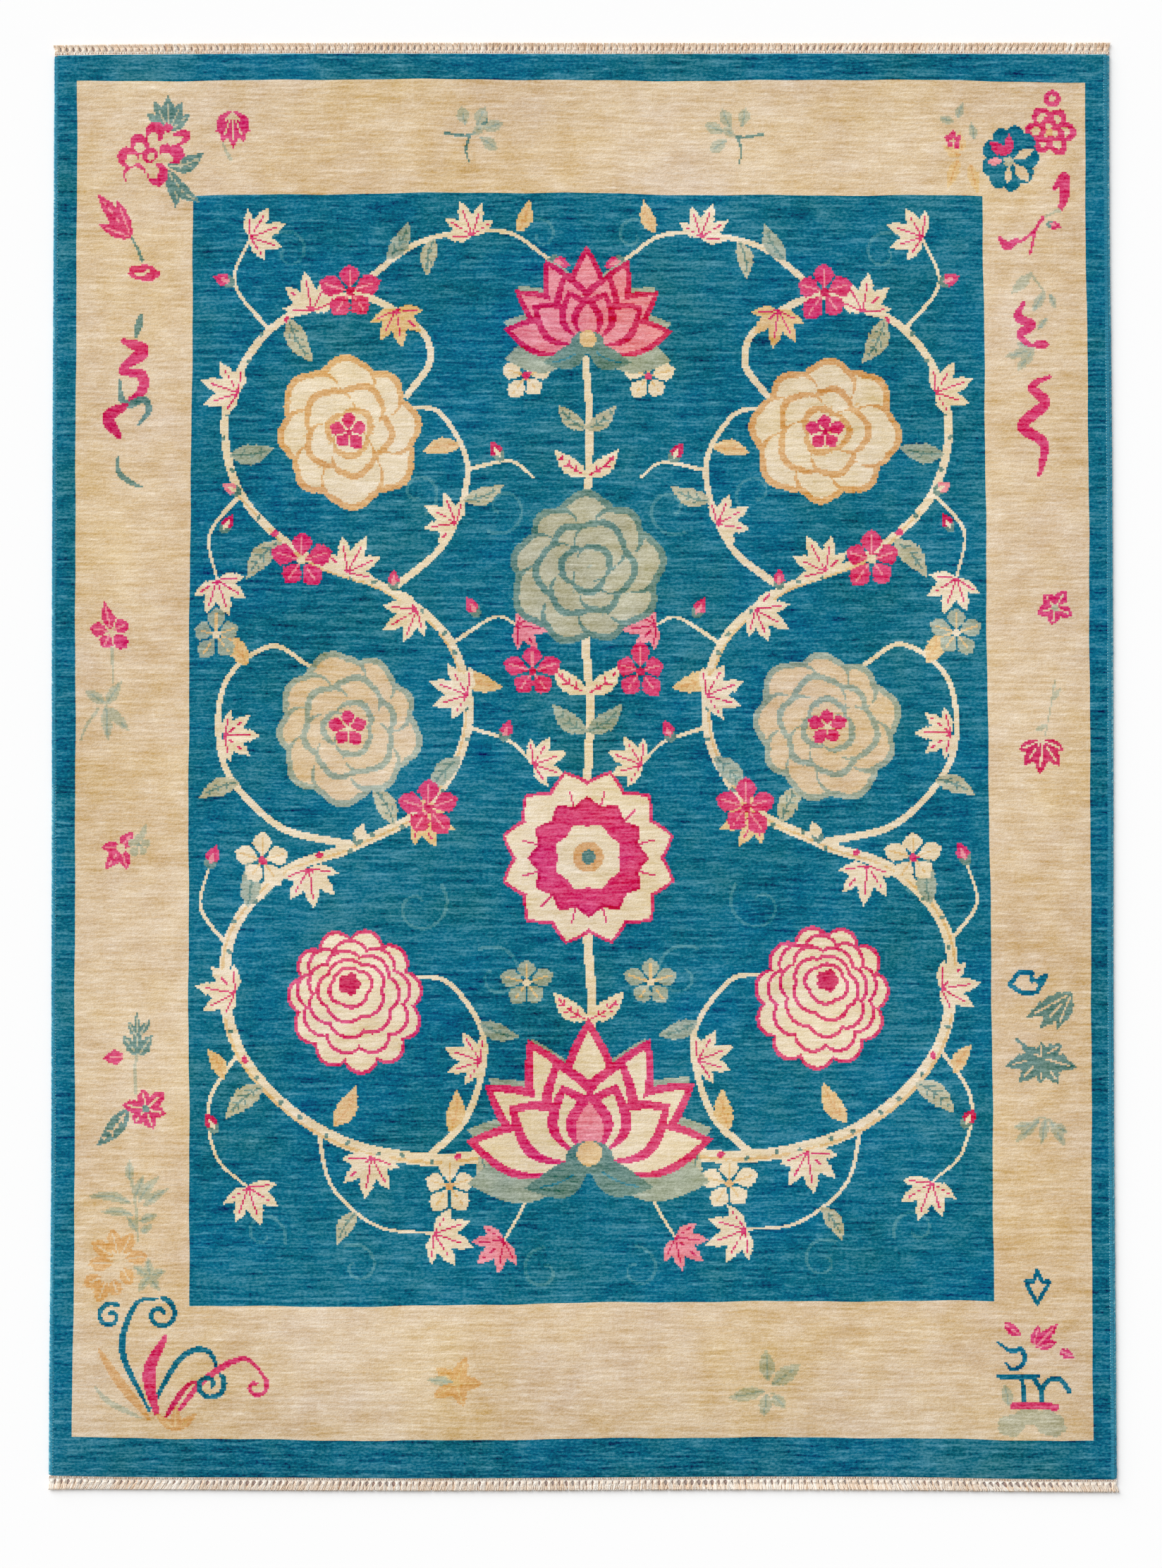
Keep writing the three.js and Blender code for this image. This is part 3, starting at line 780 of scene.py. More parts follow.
# Pile
def tidied(cells):
    """Takes out single knots that no neighbour matches."""
    for _ in range(2):
        beside = [np.roll(cells, step, axis) for axis in (1, 0) for step in (1, -1)]
        lone = np.all([cells != other for other in beside], axis=0)
        cells = np.where(lone, beside[0], cells)
    return cells


def seams(cells, step):
    """Corners of the colour areas and the straight seams between them, long seams in pieces."""
    padded = np.pad(cells.astype(int), 1, constant_values=-1)
    rows, columns = cells.shape
    up, down, right, left = (np.zeros((rows + 1, columns + 1), bool) for _ in range(4))
    up[:-1] = down[1:] = padded[1:-1, 1:] != padded[1:-1, :-1]
    right[:, :-1] = left[:, 1:] = padded[1:, 1:-1] != padded[:-1, 1:-1]
    vertical = up | down
    level = right | left
    straight = (up & down & ~level) | (right & left & ~vertical)
    j, i = np.mgrid[0:rows + 1, 0:columns + 1]
    kept = (vertical | level) & ~straight
    kept |= straight & (((j % (2 * step) == 0) & vertical) | ((i % (2 * step) == 0) & level))
    kept |= (i % step == 0) & ((j % step == 0) | (j == rows))
    kept |= (i == columns) & (j % step == 0)
    number = np.full(kept.shape, -1)
    number[kept] = np.arange(kept.sum())
    links = []
    for marks, goes in ((number, right), (number.T, up.T)):
        for line, open_way in zip(marks, goes):
            stops = np.flatnonzero(line >= 0)
            links += [(int(line[a]), int(line[b])) for a, b in zip(stops[:-1], stops[1:]) if open_way[a]]
    return np.argwhere(kept)[:, ::-1], links


def knotted_face(cells, scale):
    """Triangles of one face of the pile, with the wool of each; places are in knots."""
    points, links = seams(cells, EDGE_STEP // scale)
    flat = [Vector((float(x), float(y))) for x, y in points]
    found, _, triangles, _, _, _ = delaunay_2d_cdt(flat, links, [], 0, 1e-4, False)
    places = np.array([(p.x, p.y) for p in found])
    triangles = np.array([t for t in triangles if len(t) == 3])
    a, b, c = (places[triangles[:, k]] for k in range(3))
    area = (b[:, 0] - a[:, 0]) * (c[:, 1] - a[:, 1]) - (c[:, 0] - a[:, 0]) * (b[:, 1] - a[:, 1])
    triangles[area < 0] = triangles[area < 0][:, ::-1]
    triangles = triangles[np.abs(area) > 1e-6]
    middle = places[triangles].mean(1).astype(int)
    return places * scale, triangles, cells[middle[:, 1], middle[:, 0]]


def rim_order(places):
    """Numbers of the points on the chart's rim, anticlockwise from the lower left corner."""
    x, y = places.T
    turn = np.full(len(places), -1.0)
    turn[x == 0] = 2 * COLUMNS + 2 * ROWS - y[x == 0]
    turn[y == ROWS] = 2 * COLUMNS + ROWS - x[y == ROWS]
    turn[x == COLUMNS] = COLUMNS + y[x == COLUMNS]
    turn[y == 0] = x[y == 0]
    rim = np.flatnonzero(turn >= 0)
    return rim[np.argsort(turn[rim])]


def knotted_pile():
    chart_pattern()
    face = tidied(CELLS)
    top_places, top_triangles, top_wool = knotted_face(face, 1)
    back_places, back_triangles, back_wool = knotted_face(face[::2, ::2], 2)
    top_rim = rim_order(top_places)
    first_ring = len(top_places) + len(back_places)

    def on_rug(places, inset, height):
        spots = laid(places[:, 0] / COLUMNS, places[:, 1] / ROWS, inset)
        return np.column_stack([spots, np.full(len(places), height)])

    surface = on_rug(top_places, PILE_EASE, PILE_HEIGHT)
    from_edge = (np.ptp(surface[:, :2], axis=0) / 2 - np.abs(surface[:, :2])).min(1)
    surface[:, 2] += UNEVEN * waves(surface, 12, 0.09, 0.4, 5) * rise(from_edge, 0, 0.04)
    points = [surface, on_rug(back_places, 0.0, 0.0)]
    loops = [len(top_places) + rim_order(back_places)]
    for k, (down, inset) in enumerate(EDGE_RINGS):
        points.append(on_rug(top_places[top_rim], inset * PILE_EASE, PILE_HEIGHT - down * PILE_EASE))
        loops.append(first_ring + len(top_rim) * k + np.arange(len(top_rim)))
    loops.append(top_rim)

    faces = top_triangles.tolist() + (len(top_places) + back_triangles[:, ::-1]).tolist()
    for low, high in zip(loops[:-1], loops[1:]):
        faces += np.stack([low, np.roll(low, -1), np.roll(high, -1), high], -1).tolist()
    walls = 4 * len(top_rim)
    wools = np.concatenate([top_wool, back_wool, np.full(walls, WOOL["teal"])])
    smooth = np.ones(len(faces), bool)
    smooth[len(top_triangles):-walls] = False
    places = np.vstack(points)
    piece, corners = built("pile", places, faces, smooth)
    tones = np.array([[*linear(colour), 1.0] for colour in WOOLS.values()])
    sways = np.column_stack([np.interp(tones[:, :3], *ANSWER), np.interp(tones[:, 1], *CLOUDED)])
    store(piece, "wool", "FACE", tones[wools])
    store(piece, "sway", "FACE", sways[wools])
    store(piece, "tone_shift", "POINT", tone_shift(places))
    low, high = (np.array(corner[:2]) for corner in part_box("rug_pile"))
    bake_map(piece, (places.astype(np.float32)[corners, :2] - low) / (high - low))
    return piece


# Yarns
MAP_MARGINS = (0.01, 0.04)  # of the bake map, at the ends of its rows and between them


def spread(*shape):
    """Random steps around zero, none larger than two."""
    return chance.standard_normal(shape).clip(-2, 2)


def drift(run, slow, quick, start):
    """A slow change between 0 and 1 along a run."""
    return 0.5 + 0.5 * np.sin(run * slow + start) * np.sin(run * quick)


def tubes(paths, radii, sides, twist=0.0, lobe=0.0, flat=1.0):
    """Rings of tubes along paths; lobe and twist make a section of two plies that turns as it runs."""
    ahead = np.gradient(paths, axis=1)
    ahead /= np.linalg.norm(ahead, axis=2, keepdims=True)
    aside = np.cross(ahead, np.array((0.0, 0.0, 1.0)))
    aside /= np.linalg.norm(aside, axis=2, keepdims=True)
    down = np.cross(ahead, aside)
    corner = 2 * np.pi * np.arange(sides) / sides
    size = np.broadcast_to(radii, paths.shape[:2])[..., None] * (1 + lobe * np.cos(2 * corner))
    angle = corner + np.broadcast_to(twist, paths.shape[:2])[..., None]
    level = (size * np.cos(angle))[..., None] * aside[:, :, None]
    return paths[:, :, None] + level + (flat * size * np.sin(angle))[..., None] * down[:, :, None]


class Yarns:
    """Closed tubes gathered into one piece, each face with a tone between 0 and 1."""

    def __init__(self):
        self.points, self.faces, self.tones, self.smooth = [], [], [], []
        self.count = 0

    def add(self, rings, tones):
        number, length, sides, _ = rings.shape
        marks = self.count + np.arange(number * length * sides).reshape(number, length, sides)
        near_ring, far_ring = marks[:, :-1], marks[:, 1:]
        around = [near_ring, np.roll(near_ring, -1, 2), np.roll(far_ring, -1, 2), far_ring]
        around = np.stack(around, -1).reshape(-1, 4)
        caps = np.concatenate([marks[:, 0, ::-1], marks[:, -1]])
        self.faces += around.tolist() + caps.tolist()
        tones = np.broadcast_to(np.asarray(tones, float).reshape(number, -1), (number, length - 1))
        self.tones += np.repeat(tones, sides).tolist() + tones[:, 0].tolist() + tones[:, -1].tolist()
        self.smooth += [True] * len(around) + [False] * len(caps)
        self.points.append(rings.reshape(-1, 3))
        self.count += marks.size

    def piece(self, name, axis, rows):
        """The finished piece; its bake map is cut into rows along the axis."""
        places = np.vstack(self.points)
        piece, corners = built(name, places, self.faces, np.array(self.smooth))
        store(piece, "tone", "FACE", np.array(self.tones))
        face_of = np.repeat(np.arange(len(self.faces)), [len(f) for f in self.faces])
        low, high = places[:, :2].min(0), places[:, :2].max(0)
        share = (places[corners, :2] - low) / (high - low)
        middle = np.bincount(face_of, share[:, axis]) / np.bincount(face_of)
        row = np.minimum((middle * rows).astype(int), rows - 1)[face_of]
        ends, between = MAP_MARGINS
        level = ends + (1 - 2 * ends) * (share[:, axis] * rows - row)
        upright = (row + between + (1 - 2 * between) * share[:, 1 - axis]) / rows
        bake_map(piece, np.stack([level, upright], -1).clip(0, 1))
        return piece


def overcast_side(name, edge, outward):
    """The cord along one side, wrapped turn by turn, and the stitches that hold it to the pile."""
    line = EDGES[edge]
    low, high = line[0, 1], line[-1, 1]
    turns = int((high - low) / TURN_PITCH)
    turn, ring = (grid.ravel() for grid in np.mgrid[0:turns, 0:len(TURN_RINGS)])
    phase, wide = np.array(TURN_RINGS)[ring].T
    spot = low + CORD_ENDS + (high - low - 2 * CORD_ENDS) * (turn + phase) / turns
    size = wide * (1 + 0.05 * spread(turns)[turn])
    size[:2] = CORD_TIP
    size[-2:] = CORD_TIP[::-1]
    centre = np.interp(spot, line[:, 1], line[:, 0]) + outward * (GAP + (CORD_WIDTH - CORD_TUCK) / 2)
    centre = centre + 0.00022 * spread(turns)[turn]
    angle = 2 * np.pi * (np.arange(CORD_SIDES) + 0.5) / CORD_SIDES
    x = centre[:, None] + (CORD_WIDTH + CORD_TUCK) / 2 * size[:, None] * np.cos(angle)
    y = (spot[:, None] + CORD_SLANT * outward * np.cos(angle)).clip(low, high)
    z = CORD_MIDDLE - CORD_HALF_HEIGHT * size[:, None] * np.sin(angle)
    yarns = Yarns()
    fade = drift(spot, 3.1, 7.7, outward)
    tone = (0.3 + 0.3 * fade + 0.14 * chance.standard_normal(turns)[turn]).clip(0.05, 0.8)
    yarns.add(np.stack([x, y, z], -1)[None], tone[:-1][None])

    # Stitches over the seam beside the cord, some with a paler inner end
    count = int((high - low) / STITCH_PITCH) - 1
    y = low + STITCH_PITCH * (np.arange(count) + 1) + 0.0003 * spread(count)
    edge_x = np.interp(y, line[:, 1], line[:, 0])
    reach = STITCH_REACH[edge] + 0.0005 * spread(count)
    paths = np.stack([
        np.stack([edge_x - outward * (inside + share * reach), y + 0.0003 * k, np.full(count, height)], -1)
        for k, (inside, share, height, _) in enumerate(STITCH_RINGS)
    ], 1)
    radii = np.array([ring[3] for ring in STITCH_RINGS])
    pale = drift(y, 2.3, 5.9, 2 * outward) * (np.arange(count) % 2)
    tones = np.repeat(0.4 + 0.05 * chance.standard_normal((count, 1)), len(radii) - 1, 1)
    tones[:, 3:] += (1.1 * pale - 0.2).clip(0, 0.65)[:, None]
    yarns.add(tubes(paths, radii, 6, flat=0.4), tones.clip(0.05, 0.95))
    return yarns.piece(name, axis=1, rows=24)


# Fringe, drawn as the top end is: u runs along the edge and v outwards from the pile
LOCKS = 161
STRANDS = 7
BEADS_OUT = 0.0056
KNOT_OUT = 0.0138
OPEN_FROM = BEADS_OUT + 0.0022  # where the holes between the locks begin
TIPS_OUT = 0.0255  # all points of the CAD piece beyond this are tips
TIPS_PAST = 0.0008  # how far the loose tips pass them
END_ROOM = 0.002
SPLAY = {"top": 0.009, "bottom": 0.017}  # how far the tips lean outwards near the sides
LEAN_WAVE = 0.0035
LEAN_LOCKS = 17
LEAN_EACH = 0.002
CORNER_SPLAY = 0.003
OPENING = {"top": 0.7, "bottom": 1.0}  # how wide the holes between the locks are
HOLE_WIDTHS = (0.0046, 0.0026, 0.0058)  # of each, what it varies by, and what clusters of holes add
STRAND_SIDES = 5
STRAND_HEIGHTS = (0.0021, 0.0066)  # the lowest and the highest
PLY_TURN = 330  # how fast the plies of a strand turn, in radians to a metre
STRAND_TONE = {"top": 0.74, "bottom": 0.88}
SWAY = {"top": 0.0020, "bottom": 0.0012}
# Distance out, radius and height of a strand's rings, up to where it is free, then its free radii
STRAND_RINGS = np.array([
    (BEADS_OUT - 0.001, 0.0012, 0.0034), (BEADS_OUT + 0.002, 0.0013, 0.0036), (0.0100, 0.0013, 0.0036),
    (KNOT_OUT - 0.0018, 0.0014, 0.0036), (KNOT_OUT, 0.0015, 0.0036), (0.0165, 0.0016, 0.0034),
    (0.0195, 0.0017, 0.0032),
]).T
FREE_RADII = (0.0018, 0.0018, 0.0018, 0.0017)
KNOT_RADII = (0.0007, 0.0010, 0.0012, 0.0013, 0.0012, 0.0010, 0.0007)
BEAD_PACE = 0.0042
# Distance out, height and radius of a bead's rings
BEAD_RINGS = np.array([
    (0.0006, 0.0046, 0.0008), (0.0018, 0.0056, 0.0014), (0.0034, 0.0058, 0.0012), (0.0050, 0.0056, 0.0015),
    (0.0064, 0.0044, 0.0009),
]).T
ROW_PACE = 0.004
# Steps along each strip of the painted shade sheet under the fringe
SHADE_SHEET_STEPS = 400


def scatter(n, salt):
    wave = np.sin(n * 12.9898 + salt * 78.233) * 43758.5453
    return 2 * (wave - np.floor(wave)) - 1


class FringeEnd:
    """One end of the rug: the pile's edge there, and where its locks part, lean and end."""

    def __init__(self, edge, salt):
        self.edge = edge
        self.salt = salt
        self.line = EDGES[edge]
        self.way = -1 if edge == "bottom" else 1
        first, last = sorted((self.way * self.line[0, 0], self.way * self.line[-1, 0]))
        self.start, self.stop = first - CORD_WIDTH - GAP, last + CORD_WIDTH + GAP
        self.pitch = (self.stop - self.start) / LOCKS

        # The tips follow the CAD piece's, on one smooth curve
        solid = self.way * np.array([v.co[:2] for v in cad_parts["fringe_" + edge].data.vertices])
        tips = solid[solid[:, 1] > self.pile_edge(solid[:, 0]) + TIPS_OUT]
        self.tip = np.polynomial.Polynomial.fit(tips[:, 0], tips[:, 1] + TIPS_PAST, 5)

        # Where two locks part, and how wide and long the hole between them is
        parting = np.arange(LOCKS + 1)
        across = 2 * parting / LOCKS - 1
        lean = LEAN_WAVE * np.sin(2 * np.pi * parting / LEAN_LOCKS + salt) * np.sin(parting * 0.113 + salt)
        lean = lean + SPLAY[edge] * np.sign(across) * np.abs(across) ** 1.4
        lean = lean + LEAN_EACH * scatter(parting, salt)
        self.lean = (1 - across ** 12) * lean + CORNER_SPLAY * across ** 15
        clusters = (np.sin(parting * 0.19 + salt) * np.sin(parting * 0.071 + 2 * salt)).clip(0, 1)
        wide, varied, clustered = HOLE_WIDTHS
        self.hole = (wide + varied * scatter(parting, salt + 6) + clustered * clusters) * OPENING[edge]
        self.tail = 0.0045 + 0.8 * self.hole + 0.002 * scatter(parting, salt + 7)

    def pile_edge(self, u):
        return self.way * np.interp(self.way * u, self.line[:, 0], self.line[:, 1])

    def reach(self, u):
        """How far out the tips are."""
        return self.tip(u) - self.pile_edge(u)

    def placed(self, u, v, z):
        u, v, z = np.broadcast_arrays(u, v, z)
        return np.stack([self.way * u, self.way * (self.pile_edge(u) + v), z], -1)

    def side(self, k, v, bend, toward):
        """Where the side of a lock runs next to parting k."""
        opening = rise(v, OPEN_FROM, KNOT_OUT - OPEN_FROM)
        closing = (1 - (v - KNOT_OUT) / self.tail[k]).clip(0, 1)
        shape = np.sin(0.5 * np.pi * opening) * closing ** 0.8
        return self.start + k * self.pitch + bend * self.lean[k] + toward * 0.5 * self.hole[k] * shape


def add_strands(yarns, end):
    """The strands of every lock, drawn in at its knot and free beyond it."""
    each = (LOCKS, STRANDS, 1)
    lock = np.arange(LOCKS)[:, None, None]
    share = np.arange(STRANDS)[None, :, None] / (STRANDS - 1)
    reach = end.reach(end.start + (lock + 0.5) * end.pitch) - 0.0003 * np.abs(scatter(lock, end.salt + 1))
    reach = reach - 0.0004 * chance.random(each)
    outs, radii, heights = STRAND_RINGS
    free = np.linspace(0, 1, len(FREE_RADII) + 1)[1:]
    v = np.broadcast_to(outs, (LOCKS, STRANDS, len(outs)))
    v = np.concatenate([v, outs[-1] + (reach - outs[-1]) * free], 2)
    rings = v.shape[2]
    radius = np.concatenate([radii, FREE_RADII])
    height = np.concatenate([heights, heights[-1] + 0.0014 * free])
    bend = rise(v, KNOT_OUT, reach - KNOT_OUT)
    low, high = end.side(lock, v, bend, 1), end.side(lock + 1, v, bend, -1)
    sway = spread(*each) * np.interp(v, [0.016, 0.03], [0.0, SWAY[end.edge]])
    u = low + 0.8 * radius + share * (high - low - 1.6 * radius) + sway

    # Strands that have no room beside each other lie over each other
    crowded = (1.0 - (high - low) / (STRANDS * 2.4 * radius)).clip(0, 1)
    heaped = np.interp(v, [0.012, 0.022], [0.004, 0.0008]) * crowded * (1 - (2 * share - 1) ** 2)
    z = height + heaped + 0.0006 * chance.random(each)
    paths = end.placed(u, v, z.clip(*STRAND_HEIGHTS)).reshape(-1, rings, 3)
    twist = v.reshape(-1, rings) * PLY_TURN + chance.random((LOCKS * STRANDS, 1)) * 6
    thick = radius * (1 + 0.06 * spread(LOCKS * STRANDS, 1))
    tone = STRAND_TONE[end.edge] + 0.08 * chance.standard_normal(each)
    # Each lock's tone varies a little; its outermost strands are darker, painted shade between the locks
    tone = tone + 0.03 * chance.standard_normal((LOCKS, 1, 1)) - 0.06 * (np.abs(2 * share - 1) > 0.9)
    # Strands are lighter close to the pile: painted light against the pile's shadow falling there
    painted_light_near_pile = np.interp(v[:, :, :-1], [0, 0.006, 0.012, 0.03], [0.1, 0.14, 0.04, 0.0])
    tones = (tone + painted_light_near_pile).clip(0.3, 1).reshape(-1, rings - 1)
    yarns.add(tubes(paths, thick, STRAND_SIDES, twist, lobe=0.09), tones)


def add_knots(yarns, end):
    """A turn of yarn round each lock."""
    lock = np.arange(LOCKS)
    at_knot = np.full(LOCKS, KNOT_OUT)
    low, high = end.side(lock, at_knot, 0.0, 1), end.side(lock + 1, at_knot, 0.0, -1)
    shares = np.linspace(-1, 1, len(KNOT_RADII))
    wide = 0.42 * (high - low) * (1 + 0.12 * scatter(lock, end.salt + 3))
    u = ((low + high) / 2)[:, None] + wide[:, None] * shares
    v = KNOT_OUT + 0.0006 * scatter(lock, end.salt + 4)[:, None] + 0.0007 * shares
    z = 0.0046 + 0.0010 * np.cos(np.pi * shares / 2)
    tone = 0.9 + 0.08 * scatter(lock, end.salt + 5)
    yarns.add(tubes(end.placed(u, v, z), KNOT_RADII, 6, flat=1.1), tone.clip(0, 1))


def add_beads(yarns, end):
    """A row of beads along the pile, with a thin yarn where they meet it."""
    beads = int((end.stop - end.start) / BEAD_PACE)
    u = end.start + BEAD_PACE * (np.arange(beads) + 0.6)
    u = u + 0.0003 * spread(beads)
    v, z, radii = BEAD_RINGS
    size = radii * (1 + 0.16 * spread(beads, 1))
    tone = (0.9 + 0.1 * chance.standard_normal((beads, 1))).clip(0, 1)
    yarns.add(tubes(end.placed(u[:, None], v, z), size, 5), tone)
    steps = int((end.stop - end.start - 2 * END_ROOM) / ROW_PACE)
    u = np.linspace(end.start + END_ROOM, end.stop - END_ROOM, steps)
    row = end.placed(u, 0.0006 + 0.0003 * np.sin(u * 90), np.full(steps, 0.0062))[None]
    size = 0.0008 * (1 + 0.25 * spread(steps))
    tone = (0.93 + 0.08 * chance.standard_normal(steps - 1)).clip(0, 1)
    yarns.add(tubes(row, size[None], 5), tone[None])


def add_painted_shade_sheet(yarns, end):
    """A thin sheet of painted shade under the fringe: rust between the beads, grey in the holes, tan between
    the strands.
    """
    u = np.linspace(end.start + END_ROOM, end.stop - END_ROOM, SHADE_SHEET_STEPS)
    # Each strip of painted shade: from where to where outwards, height, tone and how far the tone varies
    for near_v, far_v, top, tone, change in (
        (0.0004, 0.0062, 0.0042, 0.2, 0.1),
        (0.0062, 0.0225, 0.0028, 0.0, 0.08),
        (0.0225, end.reach(u) - 0.004, 0.0034, 0.45, 0.1),
    ):
        corners = ((far_v, top), (far_v, 0.0003), (near_v, 0.0003), (near_v, top))
        strip = np.stack([end.placed(u, v, z) for v, z in corners], 1)[None]
        yarns.add(strip[:, :, ::end.way], tone + change * chance.random((1, SHADE_SHEET_STEPS - 1)))


def knotted_fringe(name, edge, salt):
    """Warps that leave the pile under a row of beads and are knotted lock by lock."""
    end = FringeEnd(edge, salt)
    yarns = Yarns()
    for add in (add_strands, add_knots, add_beads, add_painted_shade_sheet):
        add(yarns, end)
    return yarns.piece(name, axis=0, rows=9)


# Materials
# How far the colour follows each noise; the last, over the tuft cells, is painted shade at the rim of each
# tuft
SWING = {"broad": 0.27, "streaks": 0.225, "grain": 0.17, "dashes": 0.08, "tuft_shade": 0.1}
MOTTLE = 0.15
TINT = 2.4
WARMER = (0.015, 0.004, -0.019)
OVERCAST_TONES = ((0.0, (14, 98, 130)), (0.5, (44, 140, 166)), (1.0, (142, 194, 202)))
# Tones of the cotton; grey at 0 and rust at 0.2 are the painted shade of the sheet under the fringe
COTTON_TONES = (
    (0.0, (170, 160, 155)), (0.2, (170, 108, 88)), (0.45, (216, 178, 140)), (0.75, (242, 218, 192)),
    (1.0, (255, 248, 238)),
)


def rgba(colour):
    return (*linear(colour), 1.0)


class Shader:
    """One procedural material, built node by node."""

    def __init__(self, name, **finish):
        self.material = bpy.data.materials.new(name)
        self.material.use_nodes = True
        self.tree = self.material.node_tree
        self.tree.nodes.clear()
        self.surface = self.node("BsdfPrincipled")
        output = self.node("OutputMaterial")
        self.put(output.inputs["Surface"], self.surface.outputs["BSDF"])
        self.places = self.node("TexCoord").outputs["Object"]
        self.fill(self.surface, finish)

    def node(self, kind, **settings):
        made = self.tree.nodes.new("ShaderNode" + kind)
        for key, value in settings.items():
            setattr(made, key, value)
        return made

    def put(self, socket, value):
        if isinstance(value, bpy.types.NodeSocket):
            self.tree.links.new(value, socket)
        else:
            socket.default_value = value

    def fill(self, made, values):
        """Sets or links the named inputs of a node."""
        for name, value in values.items():
            self.put(made.inputs[name.replace("_", " ")], value)
        return made.outputs[0]

    def feed(self, kind, values, **settings):
        """A node whose inputs are set or linked in their order."""
        made = self.node(kind, **settings)
        for socket, value in zip(made.inputs, values):
            self.put(socket, value)
        return made.outputs[0]

    def math(self, operation, *values):
        return self.feed("Math", values, operation=operation)

    def vector(self, operation, *values):
        return self.feed("VectorMath", values, operation=operation)

    def remap(self, value, low, high, to_low=0.0, to_high=1.0):
        return self.feed("MapRange", (value, low, high, to_low, to_high))

    def stretched(self, x, y, shift=0.0, places=None):
        return self.feed("Mapping", (places or self.places, (shift, 1.7 * shift, 0), (0, 0, 0), (x, y, 1)))

    def noise(self, x, y, shift, detail=1.0, roughness=0.5, places=None):
        return self.fill(self.node("TexNoise", noise_dimensions="2D"), {
            "Vector": self.stretched(x, y, shift, places), "Scale": 1, "Detail": detail,
            "Roughness": roughness,
        })

    def swung(self, source, middle, share, rest):
        """The rest, with a share of how far a source stands from its middle."""
        return self.math("MULTIPLY_ADD", self.math("SUBTRACT", source, middle), share, rest)

    def attribute(self, name, output):
        return self.node("Attribute", attribute_name=name).outputs[output]

    def bump(self, height, strength, distance):
        values = {"Strength": strength, "Distance": distance, "Height": height}
        self.put(self.surface.inputs["Normal"], self.fill(self.node("Bump"), values))


def pile_wool():
    """Cut wool pile: dyed areas whose rows and patches vary, paler dashes, fine grain, and painted shade at
    the rim of each tuft.
    """
    shader = Shader("pile_wool", Roughness=0.92, Specular_IOR_Level=0.08, Sheen_Weight=0.02)

    # Rows that rise and fall a little as they run
    waver = shader.remap(shader.noise(5, 7, 3.1, 0), 0, 1, -0.004, 0.004)
    split = shader.node("SeparateXYZ")
    shader.put(split.inputs[0], shader.places)
    rows = shader.feed("CombineXYZ", (split.outputs[0], shader.math("ADD", split.outputs[1], waver)))

    mottle = shader.noise(14, 18, 21.0)
    tint = shader.noise(13, 15, 33.0)
    broad = shader.noise(5, 90, 5.0, 1, 0.6, rows)
    streaks = shader.noise(22, 148, 2.0, 1, 0.7, rows)
    grain = shader.noise(120, 200, 8.0, 0)
    # Tuft cells: the colour darkens away from each cell's middle, painted shade between the tufts that draws
    # the knot grain
    tuft = shader.fill(shader.node("TexVoronoi", voronoi_dimensions="2D"), {
        "Vector": shader.stretched(1, 1.1), "Scale": 300, "Randomness": 0.8,
    })

    # How much lighter, darker and warmer each place is than its wool
    shifts = shader.node("SeparateXYZ")
    shader.put(shifts.inputs[0], shader.attribute("tone_shift", "Vector"))
    cloud = shader.swung(mottle, 0.5, MOTTLE, shifts.outputs[0])
    swing = shader.math("MULTIPLY", cloud, shader.attribute("sway", "Alpha"))
    for source, middle, share in (
        (broad, 0.5, SWING["broad"]), (streaks, 0.5, SWING["streaks"]), (grain, 0.5, SWING["grain"]),
        (shader.remap(streaks, 0.66, 0.85), 0.0, SWING["dashes"]), (tuft, 0.42, -SWING["tuft_shade"]),
    ):
        swing = shader.swung(source, middle, share, swing)
    hue = shader.swung(tint, 0.5, TINT, shifts.outputs[1])
    change = shader.vector("MULTIPLY_ADD", hue, WARMER, swing)
    # The wool times the share kept: darker near the edges and towards the bottom end
    dimmed = shader.vector("MULTIPLY", shader.attribute("wool", "Color"), shader.attribute("tone_shift", "Alpha"))
    colour = shader.vector("MULTIPLY_ADD", change, shader.attribute("sway", "Color"), dimmed)
    shader.put(shader.surface.inputs["Base Color"], colour)
    height = shader.math("ADD", shader.noise(290, 310, 9.0, 0), shader.noise(26, 150, 17.0, 0))
    shader.bump(height, 0.45, 0.0012)
    return shader.material


def yarn_material(name, tones, grain_x, grain_y):
    """Yarn whose tone runs through a row of colours, each with the place where it stands, with its fibres."""
    shader = Shader(name, Specular_IOR_Level=0.25, Sheen_Weight=0.1)
    tone = shader.attribute("tone", "Fac")
    fibres = shader.noise(grain_x, grain_y, 4.0, 2, 0.6)
    stains = shader.noise(9, 9, 12.0, 2)
    shift = shader.math("MULTIPLY", shader.math("SUBTRACT", fibres, 0.5), 0.5)
    shift = shader.math("ADD", shift, shader.math("MULTIPLY", shader.math("SUBTRACT", stains, 0.5), 0.35))
    tone = shader.math("ADD", tone, shader.math("MULTIPLY", shift, shader.remap(tone, 0.1, 0.4)))
    colour = rgba(tones[0][1])
    for (start, _), (stop, next_colour) in zip(tones[:-1], tones[1:]):
        share = shader.remap(tone, start, stop)
        mixed = shader.node("Mix", data_type="RGBA")
        for number, value in ((0, share), (6, colour), (7, rgba(next_colour))):
            shader.put(mixed.inputs[number], value)
        colour = mixed.outputs[2]
    shader.put(shader.surface.inputs["Base Color"], colour)
    shader.put(shader.surface.inputs["Roughness"], shader.remap(fibres, 0.3, 0.7, 0.82, 0.95))
    shader.bump(fibres, 0.5, 0.0004)
    return shader.material


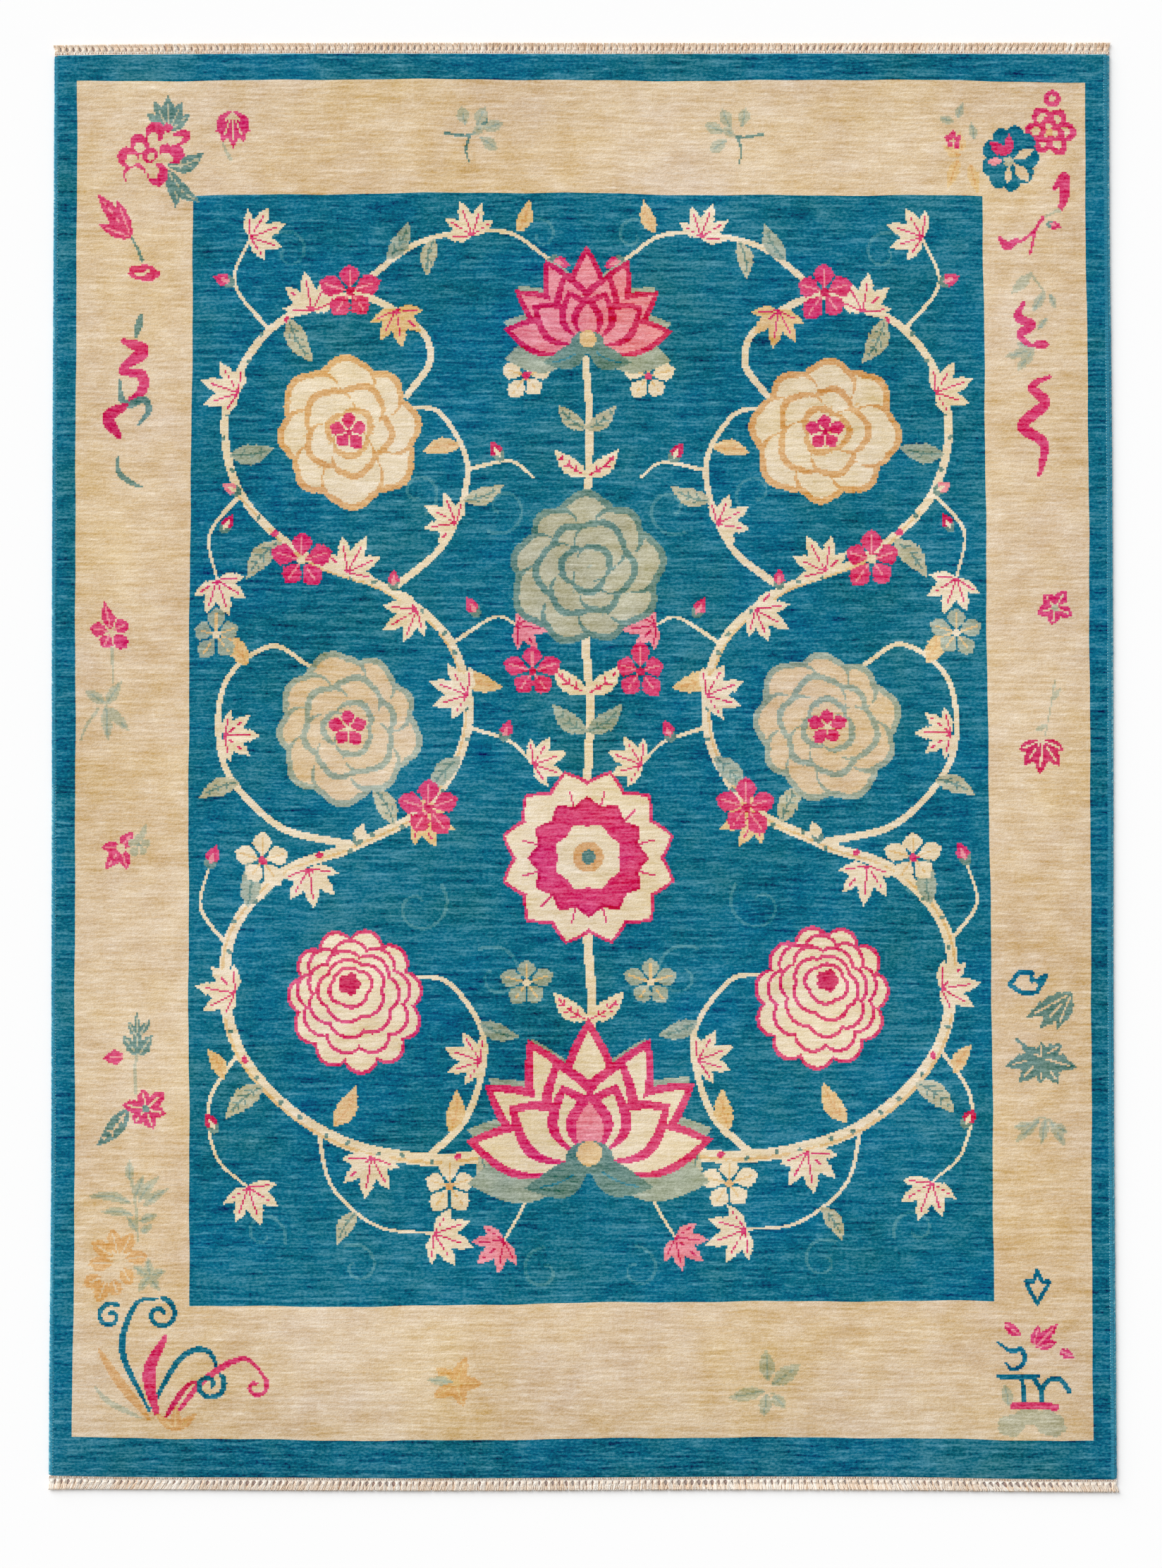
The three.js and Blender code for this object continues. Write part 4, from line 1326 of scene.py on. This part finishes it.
pile = knotted_pile()
left = overcast_side("side_left", "left", -1)
right = overcast_side("side_right", "right", 1)
top_fringe = knotted_fringe("warps_top", "top", 1)
bottom_fringe = knotted_fringe("warps_bottom", "bottom", 2)
wool = pile_wool()
overcast = yarn_material("overcast_wool", OVERCAST_TONES, 900, 160)
cotton = yarn_material("fringe_cotton", COTTON_TONES, 700, 160)
for piece, material, node, slot in (
    (pile, wool, "rug_pile", "pile_wool"), (left, overcast, "selvedge_left", "overcast_wool"),
    (right, overcast, "selvedge_right", "overcast_wool"), (top_fringe, cotton, "fringe_top", "fringe_cotton"),
    (bottom_fringe, cotton, "fringe_bottom", "fringe_cotton"),
):
    piece.data.materials.append(material)
    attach(piece, "root")
    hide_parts(node)

# Floor, light and camera
FLOOR_SIZE = 40
CAMERA_HEIGHT = 7.0
FRAME_HEIGHT = 4.0345  # what the picture covers from bottom to top
PICTURE_MIDDLE = (-0.0046, -0.0425)
SENSOR = 36  # mm
SUN_FROM = Vector((-0.8, 0.95, 0.62))
SUN_STRENGTH = 3.4
SUN_WIDTH = 50  # degrees, wide for soft shadows
SKY_STRENGTH = 0.545
FLOOR_COLOUR = (250, 250, 250)
scene = bpy.context.scene

bpy.ops.mesh.primitive_plane_add(size=FLOOR_SIZE, location=(0, 0, 0))
floor = bpy.context.object
floor.name = "floor"
paper = Shader("floor", Base_Color=rgba(FLOOR_COLOUR), Roughness=0.95, Specular_IOR_Level=0.1)
floor.data.materials.append(paper.material)

scene.world = bpy.data.worlds.new("studio")
scene.world.use_nodes = True
studio = scene.world.node_tree.nodes["Background"]
studio.inputs["Color"].default_value = (1, 1, 1, 1)
studio.inputs["Strength"].default_value = SKY_STRENGTH

sun_data = bpy.data.lights.new("window", "SUN")
sun_data.energy = SUN_STRENGTH
sun_data.angle = math.radians(SUN_WIDTH)
sun = bpy.data.objects.new("window", sun_data)
sun.rotation_euler = SUN_FROM.to_track_quat("Z", "Y").to_euler()
scene.collection.objects.link(sun)

camera_data = bpy.data.cameras.new("camera")
camera_data.sensor_width = SENSOR
camera_data.lens = SENSOR * CAMERA_HEIGHT / FRAME_HEIGHT
camera = bpy.data.objects.new("camera", camera_data)
camera.location = (*PICTURE_MIDDLE, CAMERA_HEIGHT)
scene.collection.objects.link(camera)
scene.camera = camera
scene.view_settings.view_transform = "Standard"
